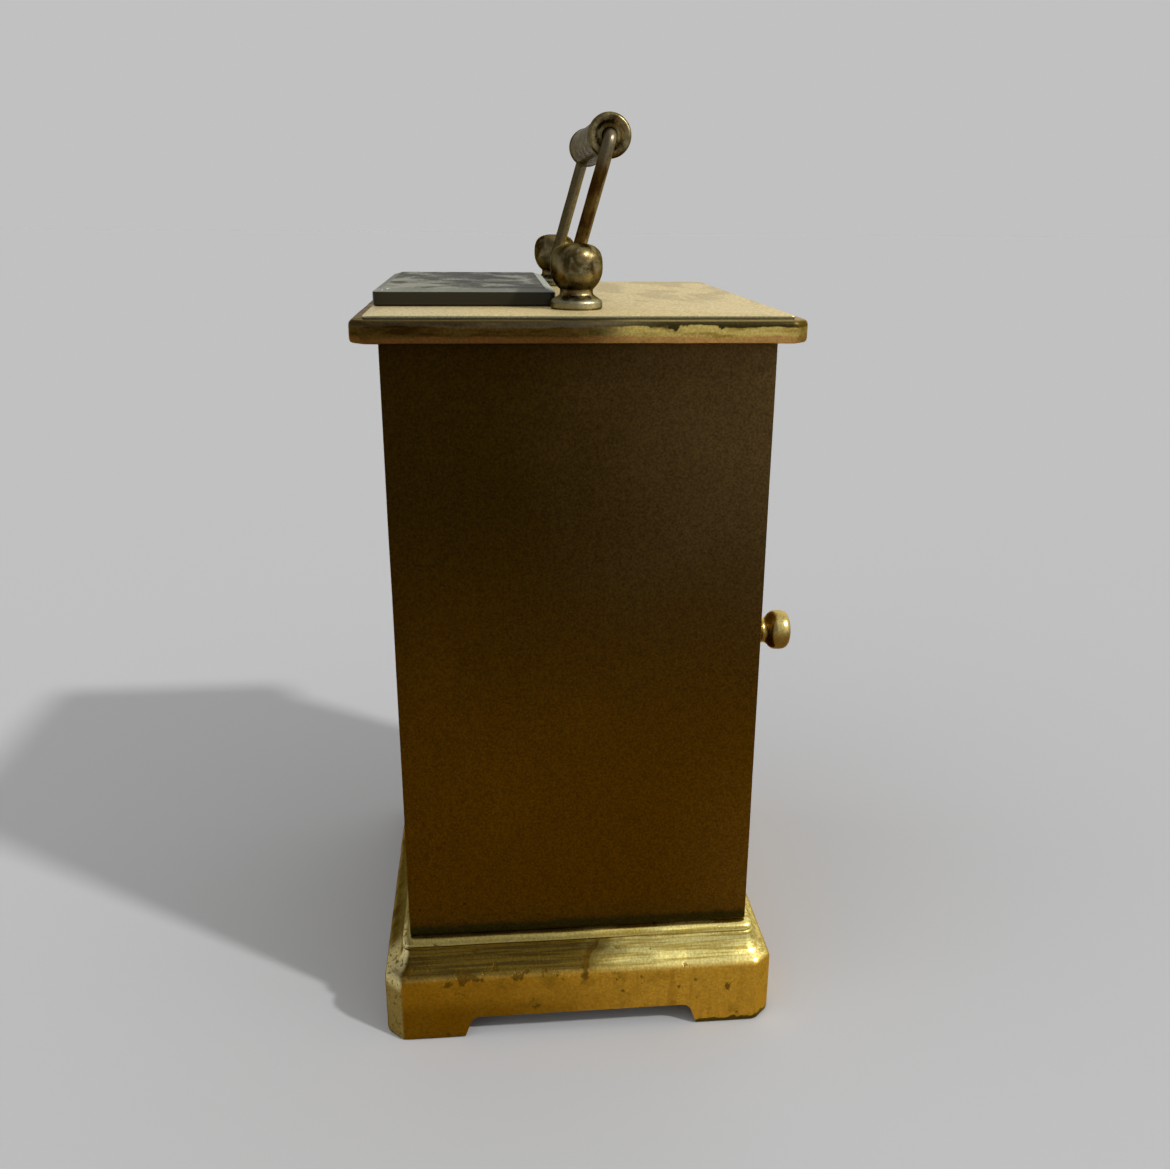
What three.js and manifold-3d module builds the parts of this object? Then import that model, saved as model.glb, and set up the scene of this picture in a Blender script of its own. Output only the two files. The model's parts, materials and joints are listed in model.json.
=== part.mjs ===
// A brass carriage clock with a fold-down handle, a bevelled top glass, a hinged rear door and a
// spring-driven lever movement. Millimetres, +Z up, the dial faces -Y, the rear door faces +Y.
// The origin is on the surface that the feet stand on, under the middle of the case.
import * as THREE from 'three';
import { mergeVertices } from 'three/addons/utils/BufferGeometryUtils.js';
import Module from 'manifold-3d';

const wasm = await Module();
wasm.setup();

// ---------------------------------------------------------------- driving dimensions

const SEAT_GAP = 0.05; // between pieces that rest on each other
const RUN_GAP = 0.08; // radial clearance of a shaft in its hole
const FREE_GAP = 0.3; // clearance beside a door or inside a turned group

const CASE = { halfX: 35.4, halfY: 28, bottom: 17.2, top: 113.2 };
const PANEL_THICK = 1.2;
const FACE_THICK = 2; // front frame and rear door
const PILLAR_SIDE = 5;

const BASE = {
  cant: 2.6,
  // [height, overhang past the case]: foot, skirt, shoulder, cove, groove, fillet
  moulding: [
    [0, 4], [0.4, 4.4], [11, 4.4], [11.5, 4.15], [12, 3.55], [12.8, 2.65],
    [13.8, 2], [15, 1.65], [15.3, 1.25], [15.6, 1.45], [16.5, 1.3], [17.2, 0.5],
  ],
  wall: 4.9,
  hollowTop: 9,
  archHeight: 3.95,
  archHalfY: 18.1,
  archHalfX: 25.5,
  archFlare: 1.4,
  archRound: 1,
};
const FLOOR = { halfX: 28.4, halfY: 20.5, bottom: 15.2, thick: 1.6, openX: 26, openY: 17.5 };

const CORNICE = {
  cant: 2,
  // [height above the case, overhang past the case]
  edge: [[0, 3.3], [0.4, 3.76], [2.8, 3.76], [3.2, 3.3]],
};
const COVER = { overhang: 1.85, thick: 0.5 };
const WELL = { halfX: 18, front: -26.2, rear: -6.2 }; // opening under the top glass
const TOP_GLASS = { halfX: 23, front: -29.6, rear: -2.8, thick: 2.5, bevel: 1.5, edge: 2 };

const POST = { x: 26.1, flange: 3.8, waist: 2.4, ball: 3.8, crown: 3.42, stud: 1.5, studLength: 6.2 };
const PIVOT_HEIGHT = 5.7; // handle pivot above the cover plate
const HANDLE = { legX: 21.1, wire: 1, reach: 19, bend: 1.5, stubEnd: 25.6, lean: 16.5 };
const GRIP = { half: 19.4, disc: 3.2, discThick: 1.1, neck: 2.7, shoulder: 3.05, waist: 2.85 };

const DOOR = { hingeX: -32.85, hingeY: 27, right: 33.9, pin: 0.6, pinDepth: 6, pinShow: 2.2 };
const KNOB = { x: 31, z: 67.8, head: 3.175, neck: 1.6, ring: 2.3, stem: 1.1, reach: 5.4 };

const DIAL_Z = 67;
const DIAL = { radius: 23, window: 21.5, thick: 0.8, y: -20.7, hole: 2.3 };
const FRONT_WINDOW = { halfX: 28, bottom: 24, top: 106, lip: 0.8, rebate: 1 };
const FRONT_GLASS = { thick: 1.7, bevel: 1.8, edge: 0.8 };

const PLATE = { halfX: 24, bottom: 16.85, top: 92, thick: 1.5, frontY: -15, backY: 11.5 };
const CORNER = { x: 20.5, low: 21, high: 87.5 }; // movement pillars
const PIVOT = 0.6;
const ARBOR = 0.9;

const BARREL = { drum: 16.6, inner: 15.8, frontY: -9, cover: 15.5, coverY: [-8.9, -8], springY: [-7, 6.6] };

// Going train: teeth and modules of each pair, wheel first
const GREAT = { teeth: 48, leaves: 8, module: 0.8, y: [7.5, 9.3] };
const CENTRE = { teeth: 60, leaves: 6, module: 0.42, y: [-12.6, -11.6] };
const THIRD = { teeth: 48, leaves: 6, module: 0.4, y: [-3.2, -2.2] };
const CONTRATE = { teeth: 45, leaves: 6, inner: 5.9, outer: 7.2, web: [-8.6, -7.8] };
// Motion work: teeth, the centre distance of each pair, pipes, and where each piece lies along y
const MOTION = {
  cannon: 12, minute: 36, pinion: 10, hour: 40, pair: 9.6, cannonPipe: 1.15, hourPipe: 1.8,
  cannonY: [-18.1, -16.9], cannonEnd: -24.35, minuteY: [-17.8, -17], pinionY: [-19.8, -17.5],
  hourY: [-19.6, -18.8], hourEnd: -23.15, settingY: [-18, -16.8], settingHalf: 0.7, settingEnd: 19,
};
const ESCAPE = { teeth: 15, tip: 3.1, root: 2.3, y: -10, z: [94.6, 95.1] };

const PLATFORM = { halfX: 14, front: -16.4, rear: 12.9, bottom: 92.05, thick: 1.4 };
const BALANCE = {
  y: 1.5, rim: 5.8, rimIn: 5, z: [98.4, 99.4], roller: 1.6, rollerZ: [96, 96.5],
  staff: 0.7, staffZ: [95.8, 101.2], pivotZ: [93, 102.5], springZ: [100, 100.5],
};
const LEVER = { y: -5.4, z: [94.5, 95.2], staffZ: [93, 97] };

// Hands, at rest at an angle clockwise from twelve
const HOUR_HAND = {
  length: 12.5, hub: 2.8, tail: 0, shoulder: 1.5, neck: 0.5, y: [-23.1, -22.6], angle: 304.5,
};
const MINUTE_HAND = {
  length: 18.5, hub: 2, tail: 1.5, shoulder: 1.1, neck: 0.4, y: [-24.25, -23.75], angle: 54,
};

// ---------------------------------------------------------------- materials

const finish = (color, roughness, metalness) =>
  new THREE.MeshStandardMaterial({ color, roughness, metalness });
const AGED_BRASS = finish(0x8a6a2c, 0.4, 1);
const POLISHED_BRASS = finish(0xb8923c, 0.25, 1);
const DUSTY_BRASS = finish(0xb79c66, 0.5, 1);
const BRONZED_BRASS = finish(0x5c4a2a, 0.4, 1);
const MOVEMENT_BRASS = finish(0xc2a14e, 0.3, 1);
const STEEL = finish(0x9a9ca0, 0.3, 1);
const BLUED_STEEL = finish(0x1b2a4a, 0.3, 1);
const ENAMEL = finish(0xf1eee2, 0.3, 0);
const CLEAR_GLASS = finish(0xcfdad8, 0.05, 0);
const SMOKY_GLASS = finish(0x39443f, 0.1, 0);

// ---------------------------------------------------------------- solids

// A manifold solid from a closed geometry, with its faces pointing out
function solidOf(geometry) {
  const bare = new THREE.BufferGeometry();
  bare.setAttribute('position', geometry.getAttribute('position').clone());
  if (geometry.index) bare.setIndex(geometry.index.clone());
  const merged = mergeVertices(bare);
  const index = merged.index.array;
  const at = (i) => new THREE.Vector3().fromBufferAttribute(merged.getAttribute('position'), i);
  const triangles = [];
  let volume = 0;
  for (let i = 0; i < index.length; i += 3) {
    const [a, b, c] = index.slice(i, i + 3);
    if (a === b || b === c || c === a) continue;
    triangles.push([a, b, c]);
    volume += at(a).dot(at(b).cross(at(c)));
  }
  const outward = volume < 0 ? triangles.map(([a, b, c]) => [a, c, b]) : triangles;
  return new wasm.Manifold(new wasm.Mesh({
    numProp: 3,
    vertProperties: new Float32Array(merged.getAttribute('position').array),
    triVerts: new Uint32Array(outward.flat()),
  }));
}

// The geometry of a manifold solid, for a mesh
function geometryOf(solid) {
  const mesh = solid.getMesh();
  const geometry = new THREE.BufferGeometry();
  geometry.setAttribute('position', new THREE.BufferAttribute(mesh.vertProperties, 3));
  geometry.setIndex(new THREE.BufferAttribute(mesh.triVerts, 1));
  geometry.computeVertexNormals();
  return geometry;
}

const joined = (...solids) => solids.reduce((sum, next) => sum.add(next));
const cutBy = (solid, ...tools) => tools.reduce((rest, tool) => rest.subtract(tool), solid);

// A block between two values on each axis
function block([x0, x1], [y0, y1], [z0, z1]) {
  const geometry = new THREE.BoxGeometry(x1 - x0, y1 - y0, z1 - z0);
  return solidOf(geometry.translate((x0 + x1) / 2, (y0 + y1) / 2, (z0 + z1) / 2));
}

// A closed outline from [u, v] points, with outlines of holes in it
function outline(points, holes = []) {
  const shape = new THREE.Shape(points.map(([u, v]) => new THREE.Vector2(u, v)));
  shape.holes = holes.map((hole) => new THREE.Path(hole.map(([u, v]) => new THREE.Vector2(u, v))));
  return shape;
}

const extruded = (shape, depth, curveSegments = 3) =>
  new THREE.ExtrudeGeometry(shape, { depth, bevelEnabled: false, curveSegments });

// An outline in x and z, extruded between two values of y
const slabY = (shape, [y0, y1]) =>
  solidOf(extruded(shape, y1 - y0).rotateX(Math.PI / 2).translate(0, y1, 0));

// An outline in x and y, extruded between two heights
const slabZ = (shape, [z0, z1]) => solidOf(extruded(shape, z1 - z0).translate(0, 0, z0));

// A profile of [radius, distance] points turned about an axis, starting and ending on it
function turned(profile, axis, segments = 16) {
  const points = profile.map(([radius, along]) => new THREE.Vector2(radius, along));
  const geometry = new THREE.LatheGeometry(points, segments);
  if (axis === 'z') geometry.rotateX(Math.PI / 2);
  if (axis === 'x') geometry.rotateZ(-Math.PI / 2);
  return solidOf(geometry);
}

// A plain round bar, at its radius between two values along an axis
const bar = (radius, [from, to], axis, segments = 12) =>
  turned([[0, from], [radius, from], [radius, to], [0, to]], axis, segments);

// A cutter for a round hole: its flats clear a shaft of this radius by the gap
const hole = (radius, span, axis, gap = RUN_GAP, segments = 12) =>
  bar((radius + gap) / Math.cos(Math.PI / segments), span, axis, segments);

// Points on a circle
const circle = (radius, segments, [u, v] = [0, 0], phase = 0) =>
  Array.from({ length: segments }, (_, k) => {
    const angle = phase + (2 * Math.PI * k) / segments;
    return [u + radius * Math.cos(angle), v + radius * Math.sin(angle)];
  });

const holeOutline = (radius, centre, gap = RUN_GAP, segments = 8) =>
  circle((radius + gap) / Math.cos(Math.PI / segments), segments, centre);

const rectangle = ([u0, u1], [v0, v1]) => [[u0, v0], [u1, v0], [u1, v1], [u0, v1]];

// A closed solid through rings of points that go round the same way, one above the other
function lofted(rings) {
  const count = rings[0].length;
  const vertices = rings.flat(2);
  const index = [];
  for (let level = 0; level + 1 < rings.length; level++) {
    for (let k = 0; k < count; k++) {
      const a = level * count + k;
      const b = level * count + ((k + 1) % count);
      index.push(a, b, b + count, a, b + count, a + count);
    }
  }
  const top = (rings.length - 1) * count;
  for (let k = 1; k + 1 < count; k++) {
    index.push(0, k + 1, k, top, top + k, top + k + 1);
  }
  const geometry = new THREE.BufferGeometry();
  geometry.setAttribute('position', new THREE.Float32BufferAttribute(vertices, 3));
  geometry.setIndex(index);
  return solidOf(geometry);
}

// A rectangle with canted corners at one height
function cantedRing(halfX, halfY, cant, z) {
  const [x, y, cx, cy] = [halfX, halfY, halfX - cant, halfY - cant];
  return [
    [x, -cy, z], [x, cy, z], [cx, y, z], [-cx, y, z],
    [-x, cy, z], [-x, -cy, z], [-cx, -y, z], [cx, -y, z],
  ];
}

// A moulding that runs round the case, mitred at its canted corners
function moulding(profile, bottom, cant) {
  const widest = Math.max(...profile.map(([, overhang]) => overhang));
  const mitre = 2 - Math.SQRT2;
  return lofted(profile.map(([height, overhang]) => cantedRing(
    CASE.halfX + overhang,
    CASE.halfY + overhang,
    cant - mitre * (widest - overhang),
    bottom + height,
  )));
}

// A bevelled pane: rings of a rectangle, the last one inset by the bevel
function pane([u0, u1], [v0, v1], thick, bevel, edge) {
  const ring = (inset, z) =>
    rectangle([u0 + inset, u1 - inset], [v0 + inset, v1 - inset]).map(([u, v]) => [u, v, z]);
  return lofted([ring(0, 0), ring(0, edge), ring(bevel, thick)]);
}

// ---------------------------------------------------------------- gears

// The outline of a wheel or pinion. The shares are parts of the pitch that a tooth fills.
function gear({ teeth, pitch, tip, root, tipShare, rootShare, phase = 0 }) {
  const step = (2 * Math.PI) / teeth;
  const point = (radius, angle) => [radius * Math.cos(angle), radius * Math.sin(angle)];
  return Array.from({ length: teeth }, (_, k) => {
    const middle = phase + k * step;
    const atRoot = (rootShare * step) / 2;
    const atTip = (tipShare * step) / 2;
    return [
      point(pitch - root, middle - atRoot), point(pitch + tip, middle - atTip),
      point(pitch + tip, middle + atTip), point(pitch - root, middle + atRoot),
    ];
  }).flat();
}

const wheelTeeth = (teeth, module, phase) => gear({
  teeth, phase, pitch: (teeth * module) / 2,
  tip: 0.8 * module, root: 1.0 * module, tipShare: 0.16, rootShare: 0.46,
});
const pinionLeaves = (teeth, module, phase) => gear({
  teeth, phase, pitch: (teeth * module) / 2,
  tip: 0.5 * module, root: 1.2 * module, tipShare: 0.12, rootShare: 0.42,
});

// The phase that puts a gear in mesh with its driver, whose centre lies back along the angle
const inMesh = (driverPhase, driverTeeth, teeth, angle) =>
  angle + Math.PI - ((driverPhase - angle) * driverTeeth) / teeth + Math.PI / teeth;

// The four windows that leave a wheel's spokes
function crossings(inner, outer, arm) {
  return Array.from({ length: 4 }, (_, k) => {
    const from = (k * Math.PI) / 2;
    const corner = (radius, end) => {
      const trim = Math.asin(arm / radius);
      const angle = end ? from + Math.PI / 2 - trim : from + trim;
      return [radius * Math.cos(angle), radius * Math.sin(angle)];
    };
    const middle = from + Math.PI / 4;
    const round = (radius) => [radius * Math.cos(middle), radius * Math.sin(middle)];
    return [
      corner(inner, false), corner(outer, false), round(outer), corner(outer, true),
      corner(inner, true), round(inner),
    ];
  });
}

const along = ([x, z], distance, degrees) => {
  const angle = THREE.MathUtils.degToRad(degrees);
  return [x + distance * Math.cos(angle), z + distance * Math.sin(angle)];
};

// Places of the arbors in x and z, and the angle of each line of centres
const centreAt = [0, DIAL_Z];
const barrelAt = [0, DIAL_Z - ((GREAT.teeth + GREAT.leaves) * GREAT.module) / 2];
const THIRD_ANGLE = 50;
const thirdAt = along(centreAt, ((CENTRE.teeth + CENTRE.leaves) * CENTRE.module) / 2, THIRD_ANGLE);
const CONTRATE_ANGLE = 150;
const contrateAt = along(thirdAt, ((THIRD.teeth + THIRD.leaves) * THIRD.module) / 2, CONTRATE_ANGLE);
const MINUTE_ANGLE = 210;
const minuteAt = along(centreAt, MOTION.pair, MINUTE_ANGLE);
const SETTING_ANGLE = 150;
const settingAt = along(minuteAt, MOTION.pair, SETTING_ANGLE);
const CLICK = { angle: 40, reach: 12.6 };
const clickAt = along(barrelAt, CLICK.reach, CLICK.angle);

// ---------------------------------------------------------------- the scene graph

const clock = new THREE.Group();

function place(name, solid, material, [x, y, z] = [0, 0, 0], parent = clock) {
  const mesh = new THREE.Mesh(geometryOf(solid), material.clone());
  mesh.name = name;
  mesh.position.set(x, y, z);
  parent.add(mesh);
}

const SIDES = [['left', -1], ['right', 1]];
const ENDS = [['front', -1], ['rear', 1]];
const caseTop = CASE.top + CORNICE.edge.at(-1)[0];
const coverTop = caseTop + COVER.thick;
const pillarX = CASE.halfX - PANEL_THICK - SEAT_GAP - PILLAR_SIDE / 2;
const pillarY = CASE.halfY - FACE_THICK - 2 * SEAT_GAP - PILLAR_SIDE / 2;
const SPIGOT = { radius: 1.4, height: 2 };
const BASE_SCREW = { shank: 1.2, head: 2.4, headThick: 1.4, depth: 5.5 };

// ---- case

function archCutter(halfTop, axis) {
  const { archHeight, archFlare, archRound } = BASE;
  const shape = new THREE.Shape();
  const below = -1;
  const slope = archFlare / archHeight;
  const halfBelow = halfTop + archFlare - slope * below;
  shape.moveTo(-halfBelow, below);
  shape.lineTo(halfBelow, below);
  shape.lineTo(halfTop + archRound * slope, archHeight - archRound);
  shape.quadraticCurveTo(halfTop, archHeight, halfTop - archRound, archHeight);
  shape.lineTo(archRound - halfTop, archHeight);
  shape.quadraticCurveTo(-halfTop, archHeight, -halfTop - archRound * slope, archHeight - archRound);
  const reach = 50;
  const cutter = extruded(shape, 2 * reach).translate(0, 0, -reach).rotateX(Math.PI / 2);
  return solidOf(axis === 'x' ? cutter.rotateZ(Math.PI / 2) : cutter);
}

function baseSolid() {
  const widest = BASE.moulding[1][1];
  const hollow = block(
    [-CASE.halfX - widest + BASE.wall, CASE.halfX + widest - BASE.wall],
    [-CASE.halfY - widest + BASE.wall, CASE.halfY + widest - BASE.wall],
    [-1, BASE.hollowTop],
  );
  const well = block([-FLOOR.openX, FLOOR.openX], [-FLOOR.openY, FLOOR.openY], [1, CASE.bottom + 1]);
  const seat = block(
    [-FLOOR.halfX, FLOOR.halfX], [-FLOOR.halfY, FLOOR.halfY], [FLOOR.bottom, CASE.bottom + 1],
  );
  const body = moulding(BASE.moulding, 0, BASE.cant);
  const screwHoles = SIDES.flatMap(([, sx]) => ENDS.map(([, sy]) =>
    hole(BASE_SCREW.shank, [1, CASE.bottom + 1], 'z').translate(sx * pillarX, sy * pillarY, 0)));
  const pin = hole(DOOR.pin, [CASE.bottom - DOOR.pinShow - FREE_GAP, CASE.bottom + 1], 'z')
    .translate(DOOR.hingeX, DOOR.hingeY, 0);
  return cutBy(
    body, hollow, well, seat, archCutter(BASE.archHalfY, 'x'), archCutter(BASE.archHalfX, 'y'),
    ...screwHoles, pin,
  );
}

function corniceSolid() {
  const { halfX, front, rear } = WELL;
  const span = [CASE.top - 1, caseTop + 1];
  const studs = SIDES.map(([, side]) => hole(POST.stud, span, 'z').translate(side * POST.x, 0, 0));
  const spigots = SIDES.flatMap(([, sx]) => ENDS.map(([, sy]) =>
    hole(SPIGOT.radius, [CASE.top - 1, CASE.top + SPIGOT.height + SEAT_GAP], 'z')
      .translate(sx * pillarX, sy * pillarY, 0)));
  const pin = hole(DOOR.pin, [CASE.top - 1, CASE.top + DOOR.pinShow + FREE_GAP], 'z')
    .translate(DOOR.hingeX, DOOR.hingeY, 0);
  const well = block([-halfX, halfX], [front, rear], span);
  return cutBy(moulding(CORNICE.edge, CASE.top, CORNICE.cant), well, ...studs, ...spigots, pin);
}

function coverSolid() {
  const halfX = CASE.halfX + COVER.overhang;
  const halfY = CASE.halfY + COVER.overhang;
  const shape = outline(rectangle([-halfX, halfX], [-halfY, halfY]), [
    rectangle([-WELL.halfX, WELL.halfX], [WELL.front, WELL.rear]),
    ...SIDES.map(([, side]) => holeOutline(POST.stud, [side * POST.x, 0])),
  ]);
  return slabZ(shape, [caseTop + SEAT_GAP / 2, coverTop]);
}

// A square corner pillar: its spigot enters the cornice, its foot is drilled for the base screw
function pillarSolid() {
  const half = PILLAR_SIDE / 2;
  const [low, high] = [CASE.bottom + SEAT_GAP, CASE.top - SEAT_GAP];
  const post = block([-half, half], [-half, half], [low, high]);
  const spigot = bar(SPIGOT.radius, [high - 1, CASE.top + SPIGOT.height - FREE_GAP], 'z');
  return cutBy(
    joined(post, spigot), hole(BASE_SCREW.shank, [low - 1, low + BASE_SCREW.depth + FREE_GAP], 'z'),
  );
}

// A slotted cheese-head screw, head down, its shank standing from z = 0
function screwSolid() {
  const { shank, head, headThick, depth } = BASE_SCREW;
  const tip = CASE.bottom - BASE.hollowTop + depth;
  const bevel = 0.3;
  const screw = turned([
    [0, -headThick], [head - bevel, -headThick], [head, bevel - headThick], [head, -SEAT_GAP],
    [shank, -SEAT_GAP], [shank, tip - shank / 2], [shank / 2, tip], [0, tip],
  ], 'z', 12);
  const slotHalf = 0.3;
  return cutBy(screw, block([-head, head], [-slotHalf, slotHalf], [-headThick - 1, -headThick / 2]));
}

function addCase() {
  place('base', baseSolid(), POLISHED_BRASS);
  const { halfX, halfY, bottom, thick } = FLOOR;
  const floor = outline(
    rectangle([SEAT_GAP - halfX, halfX - SEAT_GAP], [SEAT_GAP - halfY, halfY - SEAT_GAP]),
  );
  place('floor_plate', slabZ(floor, [bottom + SEAT_GAP, bottom + thick]), MOVEMENT_BRASS);
  for (const [side, sx] of SIDES) {
    const outer = sx * CASE.halfX;
    const inner = sx * (CASE.halfX - PANEL_THICK);
    const panel = block(
      [Math.min(outer, inner), Math.max(outer, inner)],
      [-CASE.halfY, CASE.halfY],
      [CASE.bottom + SEAT_GAP, CASE.top - SEAT_GAP],
    );
    place(`side_panel_${side}`, panel, BRONZED_BRASS);
    for (const [end, sy] of ENDS) {
      place(`pillar_${end}_${side}`, pillarSolid(), POLISHED_BRASS, [sx * pillarX, sy * pillarY, 0]);
      place(`base_screw_${end}_${side}`, screwSolid(), STEEL,
        [sx * pillarX, sy * pillarY, BASE.hollowTop]);
    }
  }
  place('cornice', corniceSolid(), POLISHED_BRASS);
  place('cover_plate', coverSolid(), DUSTY_BRASS);
  const topGlass = pane(
    [-TOP_GLASS.halfX, TOP_GLASS.halfX], [TOP_GLASS.front, TOP_GLASS.rear],
    TOP_GLASS.thick, TOP_GLASS.bevel, TOP_GLASS.edge,
  );
  place('top_glass', topGlass, SMOKY_GLASS, [0, 0, coverTop + SEAT_GAP]);
}

// ---- front frame, glass, dial

function frontFrameSolid() {
  const { halfX, bottom, top, lip, rebate } = FRONT_WINDOW;
  const face = -CASE.halfY;
  const half = CASE.halfX - PANEL_THICK - SEAT_GAP;
  const frame = block(
    [-half, half], [face, face + FACE_THICK], [CASE.bottom + SEAT_GAP, CASE.top - SEAT_GAP],
  );
  const window = block([-halfX, halfX], [face - 1, 0], [bottom, top]);
  const seat = block(
    [-halfX - rebate, halfX + rebate], [face + lip, 0], [bottom - rebate, top + rebate],
  );
  return cutBy(frame, window, seat);
}

function addFront() {
  place('front_frame', frontFrameSolid(), POLISHED_BRASS);
  const { halfX, bottom, top, lip, rebate } = FRONT_WINDOW;
  const reach = rebate - 2 * SEAT_GAP;
  const { thick, bevel, edge } = FRONT_GLASS;
  const glass = pane([-halfX - reach, halfX + reach], [bottom - reach, top + reach], thick, bevel, edge);
  const glassBack = lip + SEAT_GAP + thick - CASE.halfY;
  place('front_glass', glass.rotate([90, 0, 0]), CLEAR_GLASS, [0, glassBack, 0]);
  const maskEdge = 0.2;
  const maskHalf = pillarX - PILLAR_SIDE / 2 - maskEdge;
  const around = 40;
  const mask = outline(
    rectangle([-maskHalf, maskHalf], [CASE.bottom + 1, CASE.top - 1]),
    [circle(DIAL.window, around, centreAt)],
  );
  const maskFront = DIAL.y - 2 * DIAL.thick - SEAT_GAP;
  place('dial_mask', slabY(mask, [maskFront, maskFront + DIAL.thick]), DUSTY_BRASS);
  const pinAt = DIAL.radius - 2;
  const dial = outline(circle(DIAL.radius, around), [
    circle(DIAL.hole, 12), holeOutline(PIVOT, [0, -pinAt]), holeOutline(PIVOT, [0, pinAt]),
  ]);
  place('dial', slabY(dial, [-DIAL.thick, 0]), ENAMEL, [0, DIAL.y, DIAL_Z]);
}

// ---- handle

// A route of straight runs with rounded corners, in stations that a sweep can follow
class WireRoute extends THREE.Curve {
  constructor(corners, bend, turnSteps) {
    super();
    this.stations = [corners[0]];
    for (let k = 1; k + 1 < corners.length; k++) {
      const into = corners[k].clone().sub(corners[k - 1]).normalize();
      const out = corners[k + 1].clone().sub(corners[k]).normalize();
      const centre = corners[k].clone().addScaledVector(into, -bend).addScaledVector(out, bend);
      for (let step = 0; step <= turnSteps; step++) {
        const angle = (step / turnSteps) * (Math.PI / 2);
        this.stations.push(centre.clone()
          .addScaledVector(out, -bend * Math.cos(angle))
          .addScaledVector(into, bend * Math.sin(angle)));
      }
    }
    this.stations.push(corners.at(-1));
  }

  getPoint(t, target = new THREE.Vector3()) {
    const last = this.stations.length - 1;
    const place = Math.min(Math.max(t, 0), 1) * last;
    const from = Math.min(Math.floor(place), last - 1);
    return target.lerpVectors(this.stations[from], this.stations[from + 1], place - from);
  }

  getPointAt(u, target) {
    return this.getPoint(u, target);
  }

  getTangentAt(u, target) {
    return this.getTangent(u, target);
  }
}

function bailSolid() {
  const { legX, wire, reach, bend, stubEnd } = HANDLE;
  const corner = (x, z) => new THREE.Vector3(x, 0, z);
  const route = new WireRoute([
    corner(stubEnd, 0), corner(legX, 0), corner(legX, reach),
    corner(-legX, reach), corner(-legX, 0), corner(-stubEnd, 0),
  ], bend, 4);
  const section = outline(circle(wire, 10));
  return solidOf(new THREE.ExtrudeGeometry(section, {
    steps: route.stations.length - 1, extrudePath: route, bevelEnabled: false,
  }));
}

function gripSolid() {
  const { half, disc, discThick, neck, shoulder, waist } = GRIP;
  const inside = half - discThick;
  const end = [
    [disc - 0.3, half], [disc, half - 0.3], [disc, inside + 0.2], [neck, inside],
    [neck, inside - 0.4], [shoulder, inside - 0.7], [shoulder, inside - 2.5], [waist, inside / 2],
  ];
  const left = end.map(([radius, x]) => [radius, -x]);
  const right = [...end].reverse();
  const body = turned([[0, -half], ...left, ...right, [0, half]], 'x');
  return cutBy(body, hole(HANDLE.wire, [-half - 1, half + 1], 'x', 0.15));
}

function postSolid() {
  const { flange, waist, ball, crown, stud, studLength } = POST;
  // a round ball below its pivot, and a full shoulder with a flattened crown above it
  const arc = (from, to, steps, height, power) => Array.from({ length: steps }, (_, k) => {
    const angle = from + ((to - from) * k) / steps;
    const [c, s] = [Math.cos(angle), Math.sin(angle)];
    return [
      ball * Math.abs(c) ** power, PIVOT_HEIGHT + height * Math.sign(s) * Math.abs(s) ** power,
    ];
  });
  const post = turned([
    [0, -studLength], [stud, -studLength], [stud, SEAT_GAP], [flange - 0.2, SEAT_GAP],
    [flange, 0.3], [flange, 1], [flange - 0.3, 1.35], [flange - 0.7, 1.6], [flange - 1.1, 1.85],
    [waist, 2.1], ...arc(-Math.acos(waist / ball), 0, 4, ball, 1),
    ...arc(0, Math.PI / 2, 6, crown, 2 / 3), [0, PIVOT_HEIGHT + crown],
  ], 'z');
  const bore = hole(HANDLE.wire, [-2 * ball, HANDLE.stubEnd + FREE_GAP - POST.x], 'x')
    .translate(0, 0, PIVOT_HEIGHT);
  return cutBy(post, bore);
}

// A hexagon nut that hangs from z = 0
function nutSolid() {
  const [corner, thick] = [3.1, 1.8];
  const shape = outline(circle(corner, 6), [holeOutline(POST.stud, [0, 0], SEAT_GAP, 10)]);
  return slabZ(shape, [-thick, -SEAT_GAP]);
}

function addHandle() {
  for (const [side, sx] of SIDES) {
    const post = sx > 0 ? postSolid() : postSolid().mirror([1, 0, 0]);
    place(`handle_post_${side}`, post, AGED_BRASS, [sx * POST.x, 0, coverTop]);
    place(`post_nut_${side}`, nutSolid(), MOVEMENT_BRASS, [sx * POST.x, 0, CASE.top]);
  }
  const handle = new THREE.Group();
  handle.position.z = coverTop + PIVOT_HEIGHT;
  handle.rotation.x = -THREE.MathUtils.degToRad(HANDLE.lean);
  place('handle_bail', bailSolid(), AGED_BRASS, [0, 0, 0], handle);
  place('handle_grip', gripSolid(), AGED_BRASS, [0, 0, HANDLE.reach], handle);
  clock.add(handle);
}

// ---- rear door

function doorSolid() {
  const half = FACE_THICK / 2;
  const [low, high] = [CASE.bottom + FREE_GAP, CASE.top - FREE_GAP];
  const shape = new THREE.Shape();
  const right = DOOR.right - DOOR.hingeX;
  shape.moveTo(0, -half);
  shape.lineTo(right, -half);
  shape.lineTo(right, half);
  shape.lineTo(0, half);
  shape.absarc(0, 0, half, Math.PI / 2, (3 * Math.PI) / 2);
  const slab = solidOf(extruded(shape, high - low, 8).translate(0, 0, low));
  const knobHole = hole(KNOB.stem, [-2, 2], 'y', SEAT_GAP).translate(KNOB.x - DOOR.hingeX, 0, KNOB.z);
  const pinGap = 0.02;
  const lowPin = hole(DOOR.pin, [low - 1, low + DOOR.pinDepth + SEAT_GAP], 'z', pinGap);
  const highPin = hole(DOOR.pin, [high - DOOR.pinDepth - SEAT_GAP, high + 1], 'z', pinGap);
  return cutBy(slab, knobHole, lowPin, highPin);
}

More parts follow.
